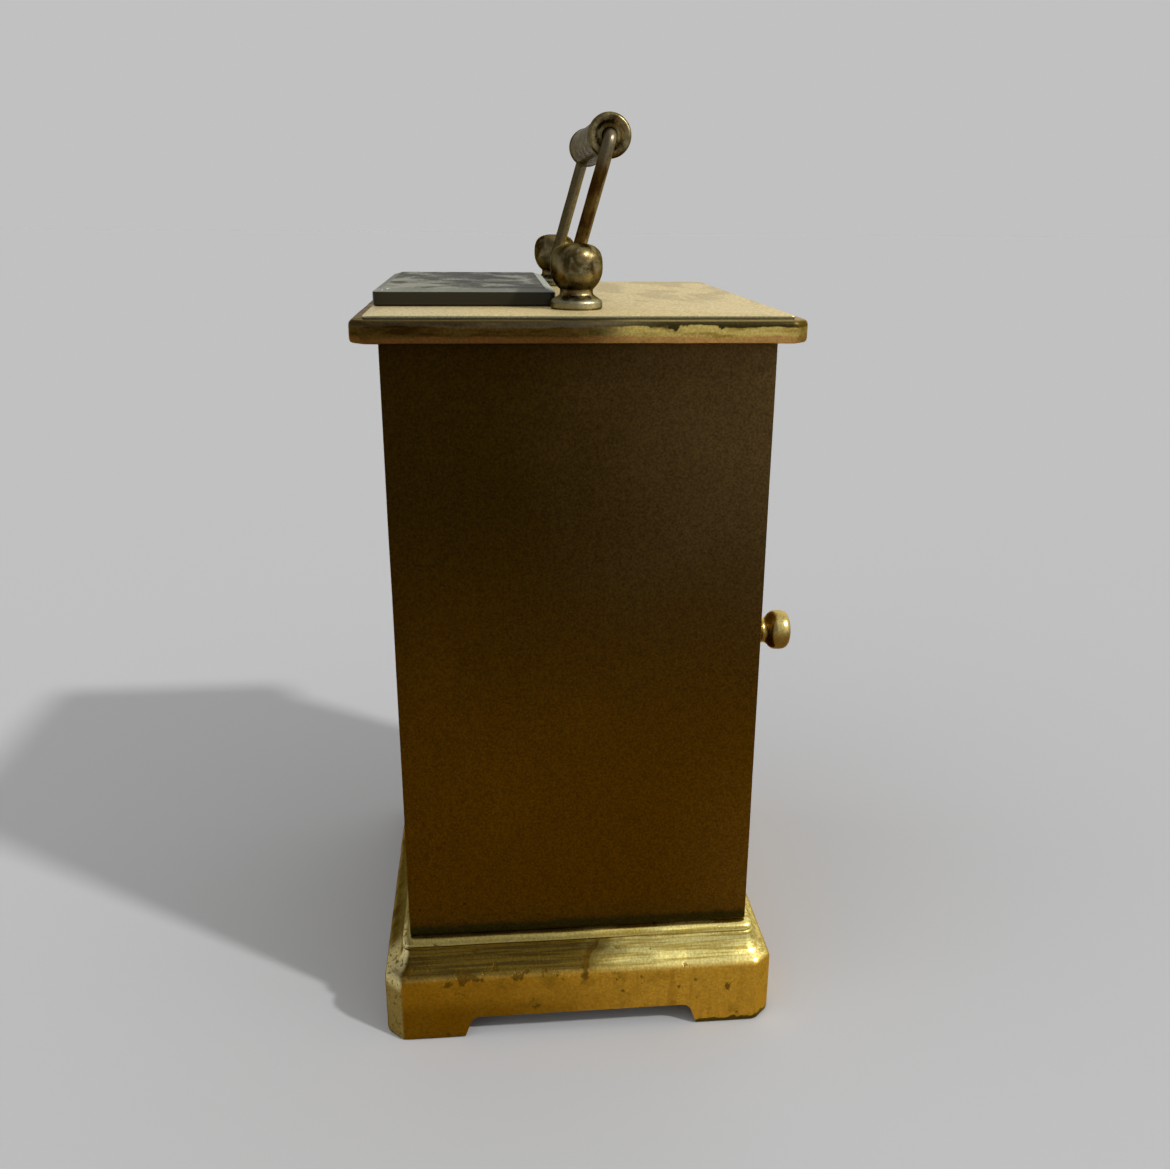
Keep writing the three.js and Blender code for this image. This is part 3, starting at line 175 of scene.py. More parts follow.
class Finish:
    """A procedural material. Its sizes are in millimetres, and its pattern is fixed to the piece."""

    def __init__(self, name, **sockets):
        material = bpy.data.materials.new(name)
        material.use_nodes = True
        FINISHES[name] = material
        self.tree = material.node_tree
        self.shader = self.tree.nodes["Principled BSDF"]
        coordinates = self.add("TexCoord")
        self.position = self.vector("SCALE", coordinates.outputs["Object"], scale=1 / MM)
        self.normal = coordinates.outputs["Normal"]
        for socket, value in sockets.items():
            self.put(self.shader.inputs[socket.replace("_", " ").title().replace("Ior", "IOR")], value)

    def add(self, kind):
        return self.tree.nodes.new("ShaderNode" + kind)

    def put(self, socket, value):
        if isinstance(value, bpy.types.NodeSocket):
            self.tree.links.new(value, socket)
        elif socket.type == "RGBA":
            socket.default_value = (*value, 1)
        else:
            socket.default_value = value

    def vector(self, operation, a, b=None, scale=None):
        node = self.add("VectorMath")
        node.operation = operation
        self.put(node.inputs[0], a)
        if b is not None:
            self.put(node.inputs[1], b)
        if scale is not None:
            self.put(node.inputs["Scale"], scale)
        return node.outputs["Vector"]

    def axis(self, letter, source=None):
        node = self.add("SeparateXYZ")
        self.put(node.inputs[0], source or self.position)
        return node.outputs[letter]

    def noise(self, size, detail=3, roughness=0.5, stretch=(1, 1, 1), twist=0, seed=0):
        """Cloudy values round 0.5, with features of about this size, stretched along an axis."""
        node = self.add("TexNoise")
        shrink = tuple(1 / (size * s) for s in stretch)
        place = self.vector("MULTIPLY", self.position, shrink)
        self.put(node.inputs["Vector"], self.vector("ADD", place, (seed, seed * 1.7, -seed)))
        node.inputs["Scale"].default_value = 1
        node.inputs["Detail"].default_value = detail
        node.inputs["Roughness"].default_value = roughness
        node.inputs["Distortion"].default_value = twist
        return node.outputs["Fac"]

    def cells(self, size, seed=0):
        """The distance to the nearest of some scattered points, as a share of their spacing."""
        node = self.add("TexVoronoi")
        place = self.vector("SCALE", self.position, scale=1 / size)
        self.put(node.inputs["Vector"], self.vector("ADD", place, (seed, seed, seed)))
        node.inputs["Scale"].default_value = 1
        return node.outputs["Distance"]

    def calc(self, operation, a, b=0.0):
        node = self.add("Math")
        node.operation = operation
        self.put(node.inputs[0], a)
        self.put(node.inputs[1], b)
        return node.outputs[0]

    def ramp(self, value, low, high, to_low=0.0, to_high=1.0):
        """A value that runs smoothly from to_low at low to to_high at high, and stays there."""
        node = self.add("MapRange")
        node.interpolation_type = "SMOOTHSTEP"
        self.put(node.inputs["Value"], value)
        if low > high:
            low, high, to_low, to_high = high, low, to_high, to_low
        for name, number in (("From Min", low), ("From Max", high), ("To Min", to_low), ("To Max", to_high)):
            node.inputs[name].default_value = number
        return node.outputs["Result"]

    def mix(self, share, a, b):
        node = self.add("Mix")
        node.data_type = "RGBA"
        self.put(node.inputs[0], share)
        self.put(node.inputs[6], a)
        self.put(node.inputs[7], b)
        return node.outputs[2]

    def lay(self, colour, share, strength, tone):
        """A colour with another laid over it."""
        return self.mix(self.times(share, strength), colour, tone)

    def times(self, a, b):
        return self.calc("MULTIPLY", a, b)

    def plus(self, a, b):
        return self.calc("ADD", a, b)

    def minus(self, a, b):
        return self.calc("SUBTRACT", a, b)

    def sway(self, cloud, width):
        """Noise moved to lie about zero, this wide."""
        return self.times(self.minus(cloud, 0.5), width)

    def spots(self, size, low, high, **pattern):
        """A mask of the places where the noise of this size is high."""
        return self.ramp(self.noise(size, **pattern), low, high)

    def shade(self, colour, factor):
        """A colour made darker or lighter by a factor."""
        return self.vector("SCALE", colour, scale=factor)

    def finish(self, colour, roughness, relief=None, depth=0.02):
        """Sets the colour, the roughness and a relief of this depth."""
        self.put(self.shader.inputs["Base Color"], colour)
        self.put(self.shader.inputs["Roughness"], roughness)
        if relief is not None:
            bump = self.add("Bump")
            bump.inputs["Distance"].default_value = depth * MM
            self.put(bump.inputs["Height"], relief)
            self.put(self.shader.inputs["Normal"], bump.outputs["Normal"])


def panel_brass():
    """Brass gone bronze brown, greyer towards the upper rear, with a fine grain and a green-black line at
    the foot; painted shade makes it darker towards the top, under the cornice."""
    low, high = box("side_panel_right")
    f = Finish("panel_brass", metallic=1, specular_tint=(0.8, 0.6, 0.3))
    y, z = f.axis("Y"), f.axis("Z")
    grain = f.noise(0.36, detail=2)
    coarse = f.noise(1.1, detail=3, seed=6)
    cloud = f.noise(15, detail=4, twist=0.4)
    waver = f.sway(cloud, 13)
    # painted shade: the colour darkens towards the top, where the cornice shades the panel
    height = f.ramp(f.plus(z, waver), low.z + 22, high.z - 22)
    colour = f.mix(height, (0.086, 0.0345, 0.0008), (0.033, 0.0165, 0.0015))
    rearward = f.ramp(f.plus(y, waver), -16, high.y + 2)
    upper = f.ramp(f.plus(z, waver), 48, high.z - 4)
    colour = f.mix(f.times(rearward, upper), colour, (0.084, 0.050, 0.0165))
    lower_rear = f.times(f.ramp(y, 10, high.y + 4), f.ramp(z, 60, 18))
    colour = f.lay(colour, lower_rear, 0.8, (0.135, 0.060, 0.006))
    glow = f.times(f.spots(22, 0.5, 0.72, detail=2, seed=4), f.ramp(z, 84, 50))
    colour = f.lay(colour, glow, 0.3, (0.130, 0.050, 0.002))
    edge = f.plus(z, f.times(f.noise(1.6, detail=5, seed=2), 1.5))
    halo = f.ramp(edge, low.z + 7.0, low.z + 2.6)
    colour = f.lay(colour, halo, 0.35, (0.050, 0.028, 0.003))
    foot = f.ramp(edge, low.z + 3.2, low.z + 1.9)
    colour = f.lay(colour, foot, 0.9, (0.020, 0.018, 0.004))
    speck = f.spots(1.5, 0.70, 0.76, detail=3, seed=13)
    speck = f.times(speck, f.times(f.ramp(z, low.z + 45, low.z + 10), f.ramp(y, 0, -22)))
    colour = f.lay(colour, speck, 0.8, (0.02, 0.010, 0.001))
    tone = f.plus(f.times(grain, 1.5), f.times(coarse, 0.4))
    colour = f.shade(colour, f.plus(tone, 0.05))
    rough = f.plus(0.39, f.times(cloud, 0.1))
    f.finish(colour, rough, grain, 0.016)


def base_brass():
    """Polished brass: orange gold faces, a cove that is brown on one half and bright on the other, with
    fine lines along it, brown spots, a run of old polish and a dark broken edge under one foot. The
    shoulder carries polish and a painted highlight, the left canted corner a painted highlight, and
    the surfaces that face down painted shade."""
    low, high = box("base")
    f = Finish("base_brass", metallic=1, specular_tint=(1, 0.85, 0.5))
    y, z = f.axis("Y"), f.axis("Z")
    cloud = f.noise(7, detail=4, twist=0.6)
    grain = f.noise(0.4, detail=2)
    lines = f.noise(0.42, detail=2, stretch=(1, 30, 1), seed=3)
    across = f.ramp(f.plus(y, f.sway(cloud, 22)), low.y + 4, high.y - 12)
    face = f.mix(across, (0.30, 0.135, 0.006), (0.60, 0.315, 0.030))
    face = f.mix(f.times(f.ramp(z, 8.5, 4.5), f.ramp(y, 12, -24)), face, (0.19, 0.082, 0.002))
    tarnish = f.spots(3.2, 0.5, 0.72, detail=5, seed=17)
    face = f.lay(face, tarnish, 0.5, (0.21, 0.115, 0.008))
    streak = f.spots(1.2, 0.52, 0.7, detail=3, stretch=(1, 1, 9), seed=7)
    face = f.mix(f.times(f.times(streak, 0.4), f.ramp(y, -2, 4)), face, (0.33, 0.15, 0.010))
    bright = f.mix(f.ramp(lines, 0.42, 0.62), (0.86, 0.74, 0.27), (0.54, 0.40, 0.09))
    brown = f.mix(f.ramp(lines, 0.38, 0.62), (0.058, 0.030, 0.002), (0.15, 0.092, 0.012))
    lip = f.ramp(z, 15.7, 15.9)
    upper = f.ramp(z, 11.2, 11.9)
    half = f.plus(y, f.sway(f.noise(3.5, detail=5, stretch=(1, 2.2, 0.8), seed=1), 24))
    dull = f.times(f.ramp(half, 13, -2), f.minus(1, f.times(lip, 0.75)))
    lip_tone = f.mix(f.ramp(half, 12, -14), bright, (0.46, 0.37, 0.115))
    upper_colour = f.mix(f.times(dull, 0.97), f.mix(lip, bright, lip_tone), brown)
    colour = f.mix(upper, face, upper_colour)
    # polish along the shoulder, with a painted highlight that grows towards the rear
    shoulder_polish_and_highlight = f.times(f.ramp(z, 10.9, 11.4), f.ramp(z, 12.1, 11.7))
    colour = f.mix(f.times(shoulder_polish_and_highlight, f.ramp(half, 0, 10, 0.12, 0.5)), colour, (0.74, 0.55, 0.155))
    groove = f.times(f.ramp(z, 15.35, 15.55), f.ramp(z, 15.95, 15.75))
    worn_groove = f.ramp(f.noise(3, detail=3, seed=6), 0.3, 0.6, 0.35, 0.9)
    worn_groove = f.times(worn_groove, f.ramp(half, 12, -6, 0.35, 1.0))
    colour = f.mix(f.times(groove, worn_groove), colour, (0.16, 0.09, 0.008))
    near_shoulder = f.times(f.ramp(z, 9.6, 11.2), f.ramp(z, 13.4, 12.0))
    blots = f.noise(2.4, detail=5, roughness=0.6, seed=2)
    blots = f.plus(blots, f.times(near_shoulder, f.ramp(y, 20, -18, 0.0, 0.11)))
    blots = f.ramp(blots, 0.63, 0.69)
    colour = f.lay(colour, blots, 0.8, (0.095, 0.048, 0.004))
    run_at = f.plus(0.6, f.times(f.ramp(z, 12.1, 16.5), 2.6))
    run_at = f.plus(run_at, f.sway(f.noise(1.1, detail=4, seed=8), 1.8))
    run = f.ramp(f.calc("ABSOLUTE", f.minus(y, run_at)), 0.85, 0.35)
    run = f.times(run, f.times(f.ramp(z, 8.2, 11.2), f.ramp(z, 16.3, 15.2)))
    colour = f.lay(colour, run, 0.85, (0.10, 0.052, 0.006))
    broken = f.minus(z, f.times(f.noise(2.6, detail=3, seed=11), 2.3))
    chip = f.times(f.ramp(broken, -0.1, -0.35), f.ramp(y, 16.5, 18))
    colour = f.lay(colour, chip, 0.92, (0.050, 0.038, 0.006))
    facing = f.axis("Y", f.normal)
    # painted highlight: the upper part of the left canted corner is painted bright, over real brown spots
    left_corner = f.times(f.ramp(facing, -0.25, -0.55), f.ramp(facing, -0.97, -0.85))
    left_corner = f.times(left_corner, f.times(f.ramp(y, -26, -29), f.ramp(f.axis("X"), 28, 33)))
    top_of_corner = f.ramp(z, 9, 11.5)
    corner_highlight_tone = f.mix(top_of_corner, (0.33, 0.245, 0.08), (0.98, 0.84, 0.40))
    corner_blots = f.spots(0.9, 0.56, 0.62, detail=3, seed=19)
    corner_highlight_tone = f.lay(corner_highlight_tone, corner_blots, 0.8, (0.17, 0.085, 0.012))
    colour = f.lay(colour, left_corner, 0.85, corner_highlight_tone)
    # painted shade: darker where the surface faces down
    under = f.ramp(f.axis("Z", f.normal), 0.1, -0.9)
    colour = f.shade(colour, f.minus(1, f.times(under, 0.6)))
    colour = f.shade(colour, f.plus(0.55, f.times(grain, 0.9)))
    rough = f.plus(0.20, f.times(f.ramp(cloud, 0.35, 0.7), 0.14))
    rough = f.plus(rough, f.times(f.plus(dull, blots), 0.1))
    relief = f.plus(grain, f.minus(lines, f.times(blots, 0.8)))
    f.finish(colour, rough, relief, 0.02)


def cornice_brass():
    """Brown brass with a coppery lower band and a black upper rim, with a painted reflection that turns it bright
    gold towards the rear.
    """
    low, high = box("cornice")
    f = Finish("cornice_brass", metallic=1, specular_tint=(1, 0.8, 0.5))
    y, z = f.axis("Y"), f.axis("Z")
    ragged = f.noise(1.6, detail=5, stretch=(1, 4, 0.8), seed=2)
    grain = f.noise(0.35, detail=2)
    shift = f.sway(f.noise(5, detail=4, stretch=(1, 2, 1)), 26)
    # painted reflection: brown at the front turning bright gold towards the rear, also in the lower band and on
    # top
    across = f.ramp(f.plus(y, shift), -2, 13)
    brown = f.mix(f.ramp(ragged, 0.4, 0.62), (0.034, 0.016, 0.002), (0.082, 0.047, 0.009))
    gold = f.mix(f.ramp(ragged, 0.42, 0.66), (0.66, 0.50, 0.14), (0.29, 0.175, 0.028))
    colour = f.mix(across, brown, gold)
    level = f.plus(z, f.sway(ragged, 1.7))
    copper = f.mix(across, (0.135, 0.058, 0.013), (0.54, 0.29, 0.085))
    colour = f.mix(f.ramp(level, low.z + 1.25, low.z + 0.75), colour, copper)
    drip = f.times(f.spots(1.5, 0.5, 0.7, detail=4, stretch=(1, 1, 6), seed=9), f.ramp(y, 4, 18, 0.1, 0.9))
    rim_at = f.plus(level, drip)
    rim = f.times(f.ramp(rim_at, high.z - 0.95, high.z - 0.7), f.ramp(y, -20, 12, 0.35, 0.97))
    rim_tone = f.mix(f.ramp(y, 2, 12), (0.105, 0.085, 0.050), (0.030, 0.024, 0.008))
    colour = f.mix(rim, colour, rim_tone)
    end = f.ramp(f.plus(y, f.times(ragged, 1.6)), high.y - 2.0, high.y - 0.4)
    colour = f.lay(colour, end, 0.6, (0.11, 0.065, 0.010))
    top = f.ramp(f.axis("Z", f.normal), 0.6, 0.95)
    colour = f.mix(top, colour, f.mix(across, (0.085, 0.072, 0.035), (0.28, 0.23, 0.11)))
    colour = f.shade(colour, f.plus(0.5, grain))
    rough = f.plus(0.24, f.times(f.ramp(ragged, 0.3, 0.7), 0.2))
    relief = f.plus(grain, f.times(ragged, 2.5))
    f.finish(colour, rough, relief, 0.02)


def cover_brass():
    """Golden brass under a film of dust, rubbed a little darker in faint smears."""
    f = Finish("cover_brass", metallic=0.4, specular_tint=(1, 0.85, 0.6))
    smear = f.noise(7, detail=3, stretch=(1.6, 0.8, 1), twist=0.3)
    dust = f.noise(0.6, detail=4, seed=3)
    fine = f.noise(0.28, detail=1, seed=1)
    rubbed = f.times(f.ramp(smear, 0.42, 0.6), f.ramp(f.axis("X"), 27, 8))
    colour = f.mix(f.times(rubbed, 0.65), (0.60, 0.48, 0.23), (0.35, 0.275, 0.125))
    front = f.ramp(f.axis("Y"), -8, -26)
    colour = f.lay(colour, front, 0.6, (0.56, 0.49, 0.295))
    colour = f.mix(f.times(f.ramp(dust, 0.48, 0.7), 0.6), colour, (0.42, 0.33, 0.15))
    sides = f.ramp(f.axis("Z", f.normal), 0.6, 0.2)
    colour = f.lay(colour, sides, 0.9, (0.15, 0.15, 0.10))
    colour = f.shade(colour, f.plus(0.42, f.times(fine, 1.1)))
    rough = f.ramp(dust, 0.2, 0.8, 0.36, 0.62)
    f.finish(colour, rough, f.plus(dust, fine), 0.03)


def handle_brass():
    """Grey-brown old brass, blotched, with grey patina in patches, and painted shade that makes it darker where it
    faces down.
    """
    f = Finish("handle_brass", metallic=1, specular_tint=(0.45, 0.4, 0.28))
    blotch = f.noise(3.0, detail=4, twist=0.5)
    small = f.noise(0.8, detail=4, seed=4)
    fine = f.noise(0.3, detail=2)
    up = f.axis("Z", f.normal)
    colour = f.mix(f.ramp(blotch, 0.36, 0.62), (0.062, 0.040, 0.010), (0.28, 0.225, 0.105))
    colour = f.mix(f.times(f.ramp(small, 0.5, 0.72), 0.5), colour, (0.30, 0.27, 0.165))
    warm = f.times(f.spots(2.2, 0.5, 0.7, detail=3, seed=8), f.ramp(up, 0.5, -0.3))
    colour = f.lay(colour, warm, 0.6, (0.17, 0.082, 0.016))
    flange_top = box("cover_plate")[1].z + 1.3
    flange = f.ramp(f.axis("Z"), flange_top + 0.5, flange_top)
    colour = f.lay(colour, flange, 0.6, (0.46, 0.42, 0.26))
    # painted shade: darker where the surface faces down
    under = f.ramp(up, 0.2, -0.7)
    colour = f.shade(colour, f.minus(1, f.times(under, 0.66)))
    colour = f.shade(colour, f.plus(0.6, f.times(fine, 0.8)))
    rough = f.ramp(small, 0.3, 0.7, 0.24, 0.42)
    relief = f.plus(f.times(blotch, 2), f.plus(small, f.times(fine, 0.3)))
    f.finish(colour, rough, relief, 0.03)


def bail_brass():
    """The handle's wire: dark and coppery, with grey wear near its bends, a painted highlight on its rear-facing
    side and painted shade where it faces down.
    """
    f = Finish("bail_brass", metallic=1, specular_tint=(0.6, 0.45, 0.25))
    blotch = f.noise(2.6, detail=4, twist=0.6, seed=3)
    small = f.noise(0.6, detail=3, seed=1)
    near_grip = f.ramp(f.axis("Z"), PIVOT_Z + REACH * 0.66, PIVOT_Z + REACH * 0.88)
    # painted highlight: golden where the wire faces the rear
    rear = f.ramp(f.plus(f.axis("Y", f.normal), f.times(blotch, 0.6)), 0.75, 1.1)
    left_leg = f.ramp(f.axis("X"), 4, -4)
    colour = f.mix(f.ramp(blotch, 0.42, 0.66), (0.060, 0.025, 0.004), (0.13, 0.072, 0.016))
    colour = f.lay(colour, left_leg, 0.7, (0.17, 0.145, 0.075))
    colour = f.lay(colour, rear, 0.8, (0.42, 0.31, 0.11))
    colour = f.lay(colour, near_grip, 0.75, (0.22, 0.19, 0.12))
    colour = f.mix(f.times(f.ramp(small, 0.52, 0.7), 0.5), colour, (0.07, 0.032, 0.006))
    # painted shade: darker where the wire faces down
    under = f.ramp(f.axis("Z", f.normal), 0.3, -0.8)
    colour = f.shade(colour, f.minus(1, f.times(under, 0.45)))
    rough = f.ramp(small, 0.3, 0.7, 0.22, 0.4)
    f.finish(colour, rough, f.plus(f.times(blotch, 2), small), 0.03)


def knob_brass():
    """Gold brass, with painted shade that turns it brown where it faces down."""
    f = Finish("knob_brass", metallic=1, specular_tint=(1, 0.8, 0.5))
    blotch = f.noise(1.8, detail=4, twist=0.5)
    fine = f.noise(0.3, detail=2)
    colour = f.mix(f.ramp(blotch, 0.4, 0.62), (0.60, 0.47, 0.165), (0.38, 0.27, 0.065))
    # painted shade: brown where the knob faces down
    under = f.ramp(f.axis("Z", f.normal), 0.5, -0.25)
    colour = f.lay(colour, under, 0.92, (0.19, 0.09, 0.012))
    colour = f.shade(colour, f.plus(0.6, f.times(fine, 0.8)))
    f.finish(colour, f.ramp(blotch, 0.3, 0.7, 0.18, 0.32), f.plus(blotch, fine), 0.02)


def top_glass():
    """Near-black smoky glass, its upper faces clouded with dust, its chamfers pale with dust and a painted
    reflection that is palest at the rear end, with painted glints along the front edge.
    """
    f = Finish("top_glass", metallic=0, ior=1.5, specular_ior_level=0.14)
    y, up = f.axis("Y"), f.axis("Z", f.normal)
    cloud = f.noise(4, detail=5, stretch=(1.6, 1.2, 1), twist=0.5, seed=3)
    fine = f.noise(0.6, detail=4, seed=2)
    facing = f.ramp(up, 0.5, 0.9)
    mottled = f.plus(cloud, f.sway(fine, 0.55))
    front_left = f.times(f.ramp(y, -14, -28), f.ramp(f.axis("X"), -4, 14))
    dust = f.ramp(f.plus(mottled, f.times(front_left, 0.2)), 0.46, 0.68)
    glass = f.mix(facing, (0.021, 0.018, 0.0085), (0.038, 0.037, 0.025))
    colour = f.mix(f.times(f.times(dust, facing), 0.9), glass, (0.235, 0.23, 0.175))
    # the chamfers pale with dust and a painted reflection, palest where they face the rear
    chamfer = f.times(f.ramp(up, 0.85, 0.92), f.ramp(up, 0.985, 0.965))
    end = f.ramp(f.axis("Y", f.normal), 0.15, 0.28)
    pale = f.mix(end, (0.165, 0.165, 0.135), (0.34, 0.36, 0.30))
    colour = f.lay(colour, chamfer, 0.85, pale)
    # painted glints: near-white spots along the front chamfer
    front_edge = f.times(f.times(chamfer, f.ramp(f.axis("X"), 15, 24)), f.ramp(y, -26.5, -28))
    sparkle = f.times(f.spots(0.7, 0.56, 0.64, detail=2, seed=5), front_edge)
    colour = f.mix(sparkle, colour, (0.85, 0.85, 0.78))
    rough = f.ramp(facing, 0, 1, 0.2, 0.55)
    f.finish(colour, rough, fine, 0.01)


def front_glass():
    f = Finish("front_glass", metallic=0, ior=1.5, alpha=0.07)
    haze = f.noise(12, detail=4, twist=0.5)
    colour = f.mix(haze, (0.46, 0.52, 0.50), (0.60, 0.64, 0.62))
    f.finish(colour, f.ramp(haze, 0.3, 0.7, 0.02, 0.07))


def plain_brass(name, light, dark, size, stretch, roughness):
    """Brushed or matt brass of the frame and movement."""
    f = Finish(name, metallic=1)
    brush = f.noise(0.14, detail=2, stretch=stretch)
    cloud = f.noise(size, detail=4, twist=0.4)
    colour = f.mix(f.ramp(cloud, 0.35, 0.65), light, dark)
    colour = f.shade(colour, f.plus(0.85, f.times(brush, 0.3)))
    spots = f.ramp(f.cells(size * 0.8, seed=4), 0.10, 0.05)
    colour = f.lay(colour, spots, 0.5, (dark[0] * 0.4, dark[1] * 0.35, dark[2] * 0.3))
    rough = f.plus(roughness, f.times(cloud, 0.12))
    f.finish(colour, rough, brush, 0.008)


def steel(name, light, dark, roughness, size=1.5):
    f = Finish(name, metallic=1)
    brush = f.noise(0.12, detail=2, stretch=(1, 1, 8))
    cloud = f.noise(size, detail=3)
    colour = f.mix(f.ramp(cloud, 0.35, 0.65), light, dark)
    colour = f.shade(colour, f.plus(0.88, f.times(brush, 0.24)))
    f.finish(colour, f.plus(roughness, f.times(cloud, 0.12)), brush, 0.005)


def dial_enamel():
    """White enamel with the slight unevenness of fired glass."""
    f = Finish("dial_enamel", metallic=0, coat_weight=0.5, coat_roughness=0.08)
    cloud = f.noise(10, detail=4)
    speck = f.ramp(f.cells(4, seed=2), 0.035, 0.02)
    colour = f.mix(cloud, (0.86, 0.83, 0.72), (0.93, 0.91, 0.83))
    colour = f.lay(colour, speck, 0.4, (0.25, 0.2, 0.12))
    f.finish(colour, f.ramp(cloud, 0.3, 0.7, 0.16, 0.26), f.noise(3, detail=2), 0.03)


def numeral_enamel():
    f = Finish("numeral_enamel", metallic=0)
    cloud = f.noise(0.6, detail=3)
    colour = f.mix(cloud, (0.008, 0.008, 0.010), (0.022, 0.021, 0.022))
    f.finish(colour, f.ramp(cloud, 0.3, 0.7, 0.2, 0.4))


for make in (base_brass, cornice_brass, cover_brass, panel_brass, handle_brass, bail_brass, knob_brass,
             top_glass, front_glass, dial_enamel, numeral_enamel):
    make()
plain_brass("pillar_brass", (0.52, 0.36, 0.11), (0.30, 0.19, 0.05), 8, (1, 1, 20), 0.26)
plain_brass("dial_mask", (0.74, 0.55, 0.22), (0.60, 0.42, 0.15), 10, (1, 1, 1), 0.42)
plain_brass("movement_brass", (0.80, 0.60, 0.24), (0.66, 0.46, 0.15), 6, (20, 1, 1), 0.24)
steel("blued_steel", (0.020, 0.040, 0.130), (0.035, 0.028, 0.085), 0.18)
steel("steel", (0.56, 0.56, 0.57), (0.40, 0.39, 0.38), 0.2)


# ---------------------------------------------------------------- mesh tools, in millimetres

def smooth(mesh, sharp=35):
    """Shades a mesh smooth, but for edges sharper than this many degrees."""
    for face in mesh.faces:
        face.smooth = True
    for edge in mesh.edges:
        if len(edge.link_faces) == 2 and edge.calc_face_angle(0) > math.radians(sharp):
            edge.smooth = False


def piece(name, mesh, body, slot, replaces=(), finish="", sharp=35):
    """A new visible piece from a bmesh in millimetres."""
    bmesh.ops.remove_doubles(mesh, verts=mesh.verts, dist=1e-4)
    bmesh.ops.recalc_face_normals(mesh, faces=mesh.faces)
    smooth(mesh, sharp)
    bmesh.ops.scale(mesh, vec=(MM, MM, MM), verts=mesh.verts)
    data = bpy.data.meshes.new(name)
    mesh.to_mesh(data)
    mesh.free()
    data.materials.append(FINISHES[finish or slot])
    obj = placed(name, data)
    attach(obj, body)
    if replaces:
        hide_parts(*replaces)
    return obj


def rounded(points, closed=False, steps=4):
    """An outline of (u, v) or (u, v, cut) points: a cut rounds the corner that far from its tip."""
    out = []
    last = len(points) - 1
    for k, (u, v, *cut) in enumerate(points):
        here = Vector((u, v))
        if not cut or (not closed and k in (0, last)):
            out.append(here)
            continue
        back = Vector(points[k - 1][:2]) - here
        ahead = Vector(points[(k + 1) % len(points)][:2]) - here
        start = here + back.normalized() * min(cut[0], 0.49 * back.length)
        end = here + ahead.normalized() * min(cut[0], 0.49 * ahead.length)
        for step in range(steps + 1):
            t = step / steps
            out.append(start * (1 - t) ** 2 + here * 2 * t * (1 - t) + end * t * t)
    return out


def joined_rings(rings, loop=False, mesh=None):
    """Faces between rings of points that go round the same way."""
    mesh = mesh or bmesh.new()
    made = [[mesh.verts.new(p) for p in ring] for ring in rings]
    pairs = list(zip(made, made[1:]))
    if loop:
        pairs.append((made[-1], made[0]))
    for low, high in pairs:
        count = max(len(low), len(high))
        for k in range(count):
            n = (k + 1) % count
            corners = [low[k % len(low)], low[n % len(low)], high[n % len(high)], high[k % len(high)]]
            corners = list(dict.fromkeys(corners))
            if len(corners) > 2:
                mesh.faces.new(corners)
    if not loop:
        for ring in (made[0], made[-1]):
            if len(ring) > 2:
                mesh.faces.new(ring)
    return mesh


def turned(profile, axis, centre, segments=72, loop=False, mesh=None):
    """(radius, along) points turned about an axis through a centre."""
    def spot(radius, angle, along):
        u, v = radius * math.cos(angle), radius * math.sin(angle)
        return Vector(centre) + Vector({"x": (along, u, v), "y": (v, along, u), "z": (u, v, along)}[axis])
    rings = []
    for radius, along in profile:
        count = 1 if radius < 1e-6 else segments
        rings.append([spot(radius, 2 * math.pi * k / segments, along) for k in range(count)])
    return joined_rings(rings, loop, mesh)


def finely(points, longest=6.0, parts=16):
    """A closed outline with its long sides divided."""
    out = []
    for k, here in enumerate(points):
        ahead = points[(k + 1) % len(points)]
        count = parts if (ahead - here).length > longest else 1
        out += [here.lerp(ahead, step / count) for step in range(count)]
    return out


def canted(half_x, half_y, cant, rounding):
    """The outline of a rectangle with canted, slightly rounded corners."""
    x, y, cx, cy = half_x, half_y, half_x - cant, half_y - cant
    corners = [(x, -cy), (x, cy), (cx, y), (-cx, y), (-x, cy), (-x, -cy), (-cx, -y), (cx, -y)]
    return finely(rounded([(u, v, rounding) for u, v in corners], closed=True, steps=4))


def rectangle(low, high, inset, rounding):
    """The outline of a rounded rectangle this far inside two corners."""
    x0, y0, x1, y1 = low[0] + inset, low[1] + inset, high[0] - inset, high[1] - inset
    corners = [(x1, y0), (x1, y1), (x0, y1), (x0, y0)]
    return finely(rounded([(u, v, rounding) for u, v in corners], closed=True, steps=4))


def worn(point, amount, size=7.0):
    """A point moved a little by smooth noise, as handling and polishing move a surface."""
    shift = noise.noise_vector(point / size)
    return point + Vector((shift.x, shift.y, shift.z * 0.5)) * amount


